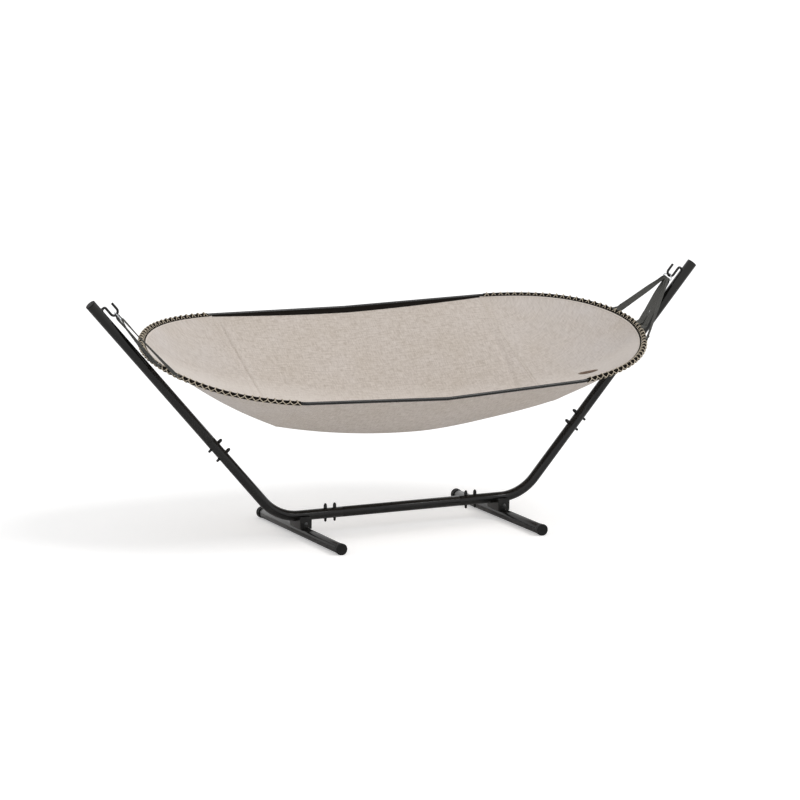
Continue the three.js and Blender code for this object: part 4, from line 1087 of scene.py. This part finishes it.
def middle_point(x, share):
    """Point of the middle panel: share 0 at the back rail, 1 at the front rail"""
    back, front = cloth_legs(x)
    if share <= KEEL_SHARE:
        flat = bezier(back, share / KEEL_SHARE)
    else:
        flat = bezier(front, (1 - share) / (1 - KEEL_SHARE))
    return Vector((x, flat.x, flat.y + crease(x, share)))


def carried(share, keel, new_keel):
    """Share carried over to another scale, on which the keel lies elsewhere"""
    if share <= keel:
        return new_keel * share / keel
    return mix(new_keel, 1, (share - keel) / (1 - keel))


def end_lines(side, across_share):
    """Seam point and laced edge point between which an end panel is stretched"""
    rim = rim_ends[side]
    seam = middle_point(rim.sign * SEAM_X, across_share)
    seam.x = rim.sign * (SEAM_X + SEAT_GAP)
    centre, _, outward, _ = rim.frame_at(carried(across_share, KEEL_SHARE, rim.keel))
    return seam, centre - outward * CLOTH_INSET


def end_point(lines, along_share):
    seam, edge = lines
    point = seam.lerp(edge, along_share)
    reach = min((edge - seam).length / RIM_HALF_WIDTH, 1)
    point.z -= END_SAG * math.sin(math.pi * along_share) * reach
    return point


def in_from_edge(line, distance):
    """Point of an end panel's line at a distance in from the laced edge"""
    span = max((line[1] - line[0]).length, distance)
    return end_point(line, 1 - distance / span)


def face_up(shape):
    """Turn all faces of a sheet to its upper side"""
    bmesh.ops.recalc_face_normals(shape, faces=shape.faces)
    if sum(face.normal.z * face.calc_area() for face in shape.faces) < 0:
        bmesh.ops.reverse_faces(shape, faces=shape.faces)


def sheet_mesh(name, grid, lift=0.0):
    """Cloth over rows of points, mapped in metres from its own first corner, seen from its upper face"""
    rows, columns = len(grid) - 1, len(grid[0]) - 1
    shape = bmesh.new()
    bmesh.ops.create_grid(shape, x_segments=columns, y_segments=rows, size=1)
    spots = {
        point: (round((point.co.y + 1) / 2 * rows), round((point.co.x + 1) / 2 * columns))
        for point in shape.verts
    }
    for point, (row, column) in spots.items():
        point.co = grid[row][column]
    across = [runs(row) for row in grid]
    along = [runs(column) for column in zip(*grid)]
    layer = shape.loops.layers.uv.new("threads")
    for face in shape.faces:
        for corner in face.loops:
            row, column = spots[corner.vert]
            corner[layer].uv = (along[column][row], across[row][column])
    face_up(shape)
    if lift:
        shape.normal_update()
        for point in shape.verts:
            point.co += point.normal * lift
    return as_mesh(shape, name, bed_place)


def hang(grid):
    """Measure a panel's flat cut along its own threads; the measure is not used"""
    for row, below in zip(grid, grid[1:]):
        for left, right, low_left, low_right in zip(row, row[1:], below, below[1:]):
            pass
    flat = tuple(max(runs(line)[-1] for line in lines) for lines in (grid, zip(*grid)))


def middle_cloth(with_pieces):
    grid = [
        [middle_point(x, share) for share in steps_between(0, 1, MIDDLE_COLUMNS)]
        for x in steps_between(-SEAM_X, SEAM_X, MIDDLE_ROWS)
    ]
    piece = keep_sheet("middle_panel", grid, CLOTH_THICKNESS, 0, "linen_cloth", "bed", ["middle_cloth"])
    hang(grid)


def end_cloth(side, with_pieces):
    lines = [end_lines(side, share) for share in steps_between(0, 1, END_COLUMNS)]
    grid = [[end_point(line, share) for line in lines] for share in steps_between(0, 1, END_ROWS)]
    piece = keep_sheet(
        f"{side}_end_panel", grid, CLOTH_THICKNESS, 0, "linen_cloth", "bed", [f"{side}_end_cloth"])
    hang(grid)


def sew_faces(rows, line, aside, lift, faces=(1, -1)):
    """Sew along a line on the upper face (1) and the lower face (-1) of a cloth that runs aside from it"""
    for face in faces:
        sew(rows, line, lambda _, ahead, face=face: face * upper_side(ahead, aside), lift)


def end_hem(side):
    """Folded hem through which the cord is laced, proud of the panel on both faces, and its dark binding"""
    lines = [end_lines(side, share) for share in steps_between(0, 1, 2 * END_COLUMNS)]

    def strip(name, start, end, thickness, edge, finish):
        grid = [[in_from_edge(line, inwards) for line in lines] for inwards in steps_between(start, end, 4)]
        return keep_sheet(f"{side}_{name}", grid, thickness, edge, finish, "bed")

    hem = strip("end_hem", END_HEM_WIDTH, 0, END_HEM_THICKNESS, END_HEM_EDGE, "linen_hem")
    binding = strip(
        "edge_binding", BINDING_WIDTH, -BINDING_PAST_EDGE, BINDING_THICKNESS, BINDING_EDGE, "hem_tape")
    row = [in_from_edge(line, END_HEM_ROW) for line in lines]
    inwards = [in_from_edge(line, END_HEM_ROW + END_HEM_PROBE) - here for line, here in zip(lines, row)]
    reach = runs(row)[-1]
    rows = bmesh.new()
    for face in (1, -1):
        def out(index, ahead, face=face):
            place = min(int((index + 0.5) * STITCH_PITCH / reach * len(inwards)), len(inwards) - 1)
            return face * upper_side(ahead, inwards[place])
        sew(rows, row, out, END_HEM_THICKNESS / 2)
    return [hem, binding, keep_shape(f"{side}_hem_stitching", rows, bed_place, "lacing_cord", "bed")]


def eyelet_spots(side):
    """Share of the rim's arc, centre and inward direction of each eyelet in an end hem"""
    rim = rim_ends[side]
    spots = []
    for share in steps_between(rim.clear, 1 - rim.clear, round(rim.length / LACE_PITCH)):
        line = end_lines(side, carried(share, rim.keel, KEEL_SHARE))
        centre = in_from_edge(line, LACE_REACH - CLOTH_INSET)
        spots.append((share, centre, in_from_edge(line, LACE_REACH) - centre))
    return spots


def eyelets(side):
    """Sewn eyelets of an end hem, one ring of thread on each face"""
    ring = bmesh.new()
    bmesh.ops.create_circle(
        ring, segments=6, radius=EYELET_THREAD,
        matrix=Matrix.Translation((EYELET_RADIUS, 0, 0)) @ Matrix.Rotation(math.pi / 2, 4, "X"))
    bmesh.ops.spin(
        ring, geom=ring.verts[:] + ring.edges[:], cent=(0, 0, 0), axis=(0, 0, 1),
        angle=2 * math.pi, steps=12, use_merge=True)
    pattern = as_mesh(close_up(ring), "eyelet")
    whole = bmesh.new()
    for share, centre, inwards in eyelet_spots(side)[1:-1]:
        run = rim_ends[side].frame_at(share)[1]
        out = upper_side(run, inwards)
        turn = Matrix((run, out.cross(run), out)).transposed().to_4x4()
        for face in (1, -1):
            loop = pattern.copy()
            loop.transform(Matrix.Translation(centre + out * face * END_HEM_THICKNESS / 2) @ turn)
            add_mesh(whole, loop)
    return [keep_shape(f"{side}_eyelets", whole, bed_place, "lacing_cord", "bed")]


def panel_seam(side):
    """Flat-felled seam over the joint between the middle panel and an end panel, sewn in two rows"""
    sign = rim_ends[side].sign
    shares = steps_between(SEAM_TRIM_SHARE, 1 - SEAM_TRIM_SHARE, MIDDLE_COLUMNS)

    def seam_line(offset):
        if offset <= 0:
            return [middle_point(sign * (SEAM_X + offset), share) for share in shares]
        lines = [end_lines(side, share) for share in shares]
        return [end_point(line, offset / (line[1] - line[0]).length) for line in lines]

    grid = [seam_line(offset) for offset in steps_between(-SEAM_WIDTH / 2, SEAM_WIDTH / 2, 4)]
    piece = keep_sheet(f"{side}_panel_seam", grid, SEAM_THICKNESS, SEAM_EDGE, "linen_cloth", "bed")
    rows = bmesh.new()
    for offset in (-SEAM_ROW_ASIDE, SEAM_ROW_ASIDE):
        sew_faces(rows, seam_line(offset), Vector((1, 0, 0)), SEAM_THICKNESS / 2)
    return [piece, keep_shape(f"{side}_seam_stitching", rows, bed_place, "lacing_cord", "bed")]


def rail_hem(name, across):
    """Dark tape folded over the cloth's edge along a rail: wide inside, narrow outside"""
    leg = 0 if across > 0 else 1
    slope = cloth_legs(0)[leg]
    down = Vector((0, *(slope[1] - slope[0])))
    tape, rows = bmesh.new(), bmesh.new()
    for face, mid_width, end_width in (
        (1, HEM_MID_WIDTH, HEM_END_WIDTH),
        (-1, HEM_OUTER_WIDTH, HEM_OUTER_END_WIDTH),
    ):
        grid, line = [], []
        for x in steps_between(-SEAM_X, SEAM_X, MIDDLE_ROWS):
            corners = cloth_legs(x)[leg]
            slope = 3 * (corners[1] - corners[0]).length
            width = mix(end_width, mid_width, 1 - (x / SEAM_X) ** 2)
            distances = [*steps_between(0, width, 5), width - HEM_ROW_INSET]
            *flat, sewn = (Vector((x, *bezier(corners, distance / slope))) for distance in distances)
            grid.append(flat)
            line.append(sewn)
        add_mesh(tape, sheet_mesh(name, grid, face * HEM_LIFT))
        sew_faces(rows, line, down, HEM_LIFT + HEM_THICKNESS / 2, [face])
    piece = keep_shape(f"{name}_tape", tape, Matrix.Identity(4), "hem_tape", "bed", [name])
    thread = keep_shape(f"{name}_stitching", rows, bed_place, "hem_tape", "bed")
    return [thicken(piece, HEM_THICKNESS, HEM_EDGE), thread]


def rim_end(side):
    """Rim tube and the shorter dark tape over it, whose dark colour partly paints the shade between the
    lacing cords
    """
    rim = rim_ends[side]
    for kind, clear, radius, *kept in (
        ("tube", 0, RIM_RADIUS, "powder_coat", "bed", [f"{side}_rim_end"]),
        # Dark tape under the cord: partly real tape, partly painted shade between the cords
        ("sleeve", rim.clear, SLEEVE_RADIUS, "hem_tape", "bed"),
    ):
        points = [rim.point(share) for share in steps_between(clear, 1 - clear, RIM_END_STEPS)]
        keep_rod(f"{side}_rim_{kind}", points, radius, RIM_SIDES, bed_place, *kept, rounding=RIM_ROUND)


def rail(name, across):
    end = RIM_JOINT_X - SEAT_GAP
    points = []
    for x in steps_between(-end, end, RAIL_STEPS):
        width, height = rail_spot(x)
        points.append(Vector((x, across * width, height)))
    keep_rod(
        f"{name}_tube", points, RIM_RADIUS, RIM_SIDES, bed_place, "powder_coat", "bed", [name],
        rounding=RIM_ROUND)


def lace_along(angle):
    """Share of the pitch a strand has gone along the rim at an angle round it, in degrees from outwards"""
    for (before, along), (after, further) in zip(LACE_COURSE, LACE_COURSE[1:]):
        if angle >= after:
            return mix(along, further, (before - angle) / (before - after))
    return LACE_COURSE[-1][1]


def lacing(side):
    """Cord laced both ways round the rim: strands cross over the tube's top and low on its outer side"""
    rim = rim_ends[side]
    spots = eyelet_spots(side)
    curls = len(spots) - 1
    shape = bmesh.new()
    for way in (1, -1):
        points = []
        for step in range(curls * LACE_STEPS + 1):
            curl, turn = divmod(step, LACE_STEPS)
            degrees = 180 - 360 * turn / LACE_STEPS
            angle = math.radians(degrees)
            place = min(curl + lace_along(degrees), curls)
            nearest = curl + (degrees < 0)
            if way < 0:
                place, nearest = curls - place, curls - nearest
            centre, run, outward, up = rim.frame_at(mix(spots[0][0], spots[-1][0], place / curls))
            over = max(
                math.cos(math.pi / 2 * min(abs(degrees - at) / reach, 1)) for at, reach in LACE_CROSSINGS)
            radius = LACE_RADIUS + (LACE_OVER * over * over if way > 0 else 0)
            round_tube = centre + outward * radius * math.cos(angle) + up * radius * math.sin(angle)
            eyelet = spots[nearest][1] + run * way * EYELET_SPLIT
            points.append(round_tube.lerp(eyelet, max(-math.cos(angle), 0) ** 3))
        add_mesh(shape, drawn("strand", points, CORD_RADIUS, CORD_SIDES))
    keep_shape(f"{side}_laced_cord", shape, bed_place, "lacing_cord", "bed", [f"{side}_lacing"])


def ring_frame(side):
    """Where the ring hangs on its hook, and the directions it lies in"""
    arm_end = Matrix.Translation((BEND_X, 0, BEAM_Z)) @ Matrix.Rotation(-ARM_ANGLE, 4, "Y")
    centre = arm_end @ Vector((ARM_RUN - HOOK_U_DEPTH, 0, HOOK_BACK_OFFSET + HOOK_U_RADIUS))
    pull = Vector((RIM_HALF_LENGTH - centre.x, 0, RIM_END_LIFT - RIM_DROP)).normalized()
    sign = rim_ends[side].sign
    seat = Vector((sign * (centre.x + pull.x * HOOK_U_RADIUS), 0, 0))
    pull.x *= sign
    across = Vector((0, 1, 0))
    return seat, pull, across, upper_side(across, pull)


def delta_ring(side):
    seat, pull, across, _ = ring_frame(side)
    low = RING_TOP - RING_TOP_RADIUS + RING_HEIGHT - RING_CORNER_RADIUS
    half = RING_BAR / 2 - RING_CORNER_RADIUS
    rise = math.atan2(half, low - RING_TOP)
    lean = math.asin((RING_TOP_RADIUS - RING_CORNER_RADIUS) / math.hypot(half, low - RING_TOP))
    wide = math.pi / 2 + lean - rise
    points = []
    for down, out, radius, start, end, steps in (
        (RING_TOP, 0, RING_TOP_RADIUS, -wide, wide, 24),
        (low, half, RING_CORNER_RADIUS, wide, math.pi, 12),
        (low, -half, RING_CORNER_RADIUS, math.pi, 2 * math.pi - wide, 12),
    ):
        for angle in steps_between(start, end, steps):
            points.append(
                seat + pull * (down - radius * math.cos(angle)) + across * (out + radius * math.sin(angle)))
    keep_rod(
        f"{side}_delta_ring", points, RING_WIRE, ROD_SIDES, bed_place, "chrome", "bed", [f"{side}_ring"],
        closed=True)


def strap(side, name, across, landings):
    """Webbing bridle: each end goes round the rim tube under the lacing and is sewn back on its own leg,
    and its middle is gathered over the ring's bar"""
    rim = rim_ends[side]
    seat, pull, aside, inner = ring_frame(side)
    bar = seat + pull * (RING_TOP - RING_TOP_RADIUS + RING_HEIGHT) + aside * (across * STRAP_SPACING / 2)
    wrap = RING_WIRE + STRAP_CLEARANCE + STRAP_THICKNESS / 2
    layer = STRAP_THICKNESS + STRAP_LAYER_GAP
    radius = RIM_RADIUS + SEAT_GAP / 2 + STRAP_THICKNESS / 2
    under = radius - layer

    def looped_end(distance):
        """Stations of a sewn tail, of the loop round the tube and of where the two layers meet,
        with the directions up the leg and over it"""
        centre, run, outward, up = rim.frame_at(rim.share_across(distance))
        width = run * math.copysign(1, run.y)
        leg = bar - centre
        rise = math.atan2(leg.dot(up), leg.dot(outward))
        out = (outward * math.cos(rise) + up * math.sin(rise)).normalized()
        over = up * math.cos(rise) - outward * math.sin(rise)
        ahead = leg.normalized()
        skew = STRAP_RIM_WIDTH * max(math.sqrt(1 - ahead.dot(width) ** 2), STRAP_LEAST_SKEW)
        touch = math.acos(radius / math.hypot(STRAP_JOIN, under)) - math.atan2(under, STRAP_JOIN)
        spots = [
            centre + ahead * up_leg - over * under
            for up_leg in steps_between(STRAP_TAIL, STRAP_JOIN, STRAP_TAIL_STEPS)]
        spots += [
            centre + out * radius * math.cos(angle) + over * radius * math.sin(angle)
            for angle in steps_between(touch, 1.5 * math.pi, STRAP_LOOP_STEPS)]
        spots.append(centre + ahead * STRAP_JOIN - over * radius)
        return [(spot, width, skew, 0) for spot in spots], ahead, over

    def with_leg(start, end):
        """Stations of an end and of its leg up to the ring, which is gathered into folds towards the ring"""
        spot, width, breadth, _ = start[-1]
        leg = []
        for share in steps_between(0, 1, STRAP_LEG_STEPS)[1:-1]:
            fold = smooth((share - STRAP_FOLD_END) / (1 - STRAP_FOLD_END))
            below = min((1 - share) / STRAP_FOLD_RUN_OUT, 1)
            leg.append((
                spot.lerp(end[0], share), width.lerp(end[1], share).normalized(),
                mix(breadth, STRAP_RING_WIDTH, fold),
                fold * mix(STRAP_FOLD_AT_RING, STRAP_FOLD_BELOW, below)))
        return start + leg

    ends = [looped_end(distance) for distance in landings]
    turns = [
        (bar - pull * wrap * math.cos(angle) + inner * wrap * math.sin(angle), aside,
         STRAP_RING_WIDTH, STRAP_FOLD_AT_RING)
        for angle in steps_between(-math.pi / 2, math.pi / 2, STRAP_BAR_STEPS)
    ]
    stations = with_leg(ends[0][0], turns[0]) + turns + with_leg(ends[1][0], turns[-1])[::-1]
    grid = []
    for index, (point, width, breadth, fold) in enumerate(stations):
        after = stations[min(index + 1, len(stations) - 1)][0]
        before = stations[max(index - 1, 0)][0]
        tangent = (after - before).normalized()
        flat = (width - tangent * width.dot(tangent)).normalized()
        outside = tangent.cross(flat)
        if outside.dot(point - bar) <= 0:
            outside.negate()
        grid.append([
            point + flat * column * breadth
            + outside * (fold * (1 - math.cos(2 * math.pi * STRAP_FOLDS * (column + 0.5))))
            for column in steps_between(-0.5, 0.5, STRAP_COLUMNS)
        ])
    name = f"{side}_{name}"
    keep_sheet(f"{name}_bridle", grid, STRAP_THICKNESS, STRAP_EDGE, "webbing", "bed", [f"{name}_strap"])
    rows = bmesh.new()
    for tail, ahead, over in ends:
        width = (tail[0][1] - ahead * tail[0][1].dot(ahead)).normalized()
        out = ahead.cross(width)
        if out.dot(over) <= 0:
            out.negate()
        low = tail[STRAP_TAIL_STEPS][0] + ahead * STRAP_BOX_LOW
        high = tail[0][0] - ahead * STRAP_BOX_HIGH
        half = width * (tail[0][2] / 2 - STRAP_BOX_ASIDE)
        corners = [low - half, low + half, high + half, high - half]
        paths = [*zip(corners, corners[1:] + corners[:1]), corners[::2], corners[1::2]]
        for face, lift in ((1, STRAP_THICKNESS / 2), (-1, layer + STRAP_THICKNESS / 2)):
            for path in paths:
                sew(rows, path, lambda *_, out=out * face: out, lift)
    keep_shape(f"{name}_bridle_stitching", rows, bed_place, "webbing", "bed")


def leather_patch():
    """Bare oval patch sewn flat on the inner face of the right end panel"""
    lines = {}

    def spot(along, across):
        key = round(across, 6)
        if key not in lines:
            lines[key] = end_lines("right", across)
        return end_point(lines[key], along)

    centre = spot(PATCH_ALONG_SHARE, PATCH_ACROSS_SHARE)
    inwards = (spot(PATCH_ALONG_SHARE + PATCH_PROBE, PATCH_ACROSS_SHARE) - centre) / PATCH_PROBE
    sideways = (spot(PATCH_ALONG_SHARE, PATCH_ACROSS_SHARE + PATCH_PROBE) - centre) / PATCH_PROBE
    normal = upper_side(sideways, inwards).normalized()

    def under_patch(x, y):
        """Point of the cloth under a place of the patch, given along and across the patch"""
        out = Vector((x, y))
        out.rotate(Matrix.Rotation(PATCH_TURN, 2))
        return spot(PATCH_ALONG_SHARE + out.y / inwards.length, PATCH_ACROSS_SHARE + out.x / sideways.length)

    shape = bmesh.new()
    bmesh.ops.create_circle(shape, cap_ends=True, cap_tris=True, segments=PATCH_SIDES, radius=1)
    bmesh.ops.subdivide_edges(
        shape, edges=[edge for edge in shape.edges if not edge.is_boundary], cuts=PATCH_RINGS)
    for point in shape.verts:
        cloth = under_patch(point.co.x * PATCH_LENGTH / 2, point.co.y * PATCH_WIDTH / 2)
        point.co = cloth + normal * PATCH_LIFT
    face_up(shape)
    piece = keep_shape("sewn_patch", shape, bed_place, "leather", "bed", ["leather_patch"])
    length, width = PATCH_LENGTH / 2 - PATCH_ROW_ENDS, PATCH_WIDTH / 2 - PATCH_ROW_SIDES
    row = [
        under_patch(length * math.cos(angle), width * math.sin(angle))
        for angle in steps_between(0, 2 * math.pi, PATCH_ROW_STEPS)]
    rows = bmesh.new()
    sew(
        rows, row, lambda *_: normal, PATCH_LIFT + PATCH_THICKNESS / 2,
        PATCH_STITCH_PITCH, PATCH_STITCH_LENGTH)
    thread = keep_shape("patch_stitching", rows, bed_place, "lacing_cord", "bed")
    return [thicken(piece, PATCH_THICKNESS, PATCH_EDGE), thread]


# Light, floor and background

def studio():
    """White sky that lights less than it shows, and one wide soft sun"""
    world = bpy.data.worlds.new("studio")
    bpy.context.scene.world = world
    world.use_nodes = True
    nodes = Nodes(world.node_tree)
    rays = nodes.node("LightPath").outputs
    seen = nodes.maths("MAXIMUM", rays["Is Camera Ray"], rays["Is Glossy Ray"])
    seen = nodes.maths("MAXIMUM", seen, rays["Is Transmission Ray"])
    sky = world.node_tree.nodes["Background"]
    nodes.feed(sky, "Color", (1, 1, 1, 1))
    nodes.feed(sky, "Strength", nodes.spread(seen, 0, 1, SKY_LEVEL, 1))
    lamp = bpy.data.lights.new("sun", "SUN")
    lamp.energy = SUN_LEVEL
    lamp.angle = SUN_SPREAD
    put("sun", lamp).rotation_euler = SUN_TILT
    bpy.context.scene.view_settings.view_transform = "Standard"


def floor():
    """White floor that shows a little brighter than it is lit"""
    shape = bmesh.new()
    bmesh.ops.create_circle(shape, cap_ends=True, segments=64, radius=FLOOR_REACH)
    mesh = as_mesh(shape, "floor")
    finish = Finish("floor_white", (FLOOR_TONE, FLOOR_TONE, FLOOR_TONE, 1), 0.9, 0, 0)
    seen = finish.node("LightPath").outputs["Is Camera Ray"]
    finish.give(Emission_Color=(1, 1, 1, 1), Emission_Strength=finish.maths("MULTIPLY", seen, FLOOR_LIFT))
    mesh.materials.append(finish.material)
    put("floor", mesh)


photograph_camera()
studio()
floor()
centre_beam()
for side in ("left", "right"):
    elbow(side)
    arm(side)
    arm_plug(side)
    hook(side)
    joint_bolts(side)
    foot(side)
    saddle(side)
    rim_end(side)
    lacing(side)
    patch = leather_patch() if side == "right" else []
    end_cloth(side, end_hem(side) + eyelets(side) + panel_seam(side) + patch)
    delta_ring(side)
    strap(side, "back", 1, BACK_STRAP_ACROSS)
    strap(side, "front", -1, FRONT_STRAP_ACROSS)
rail("back_rail", 1)
rail("front_rail", -1)
middle_cloth(rail_hem("back_hem", 1) + rail_hem("front_hem", -1))
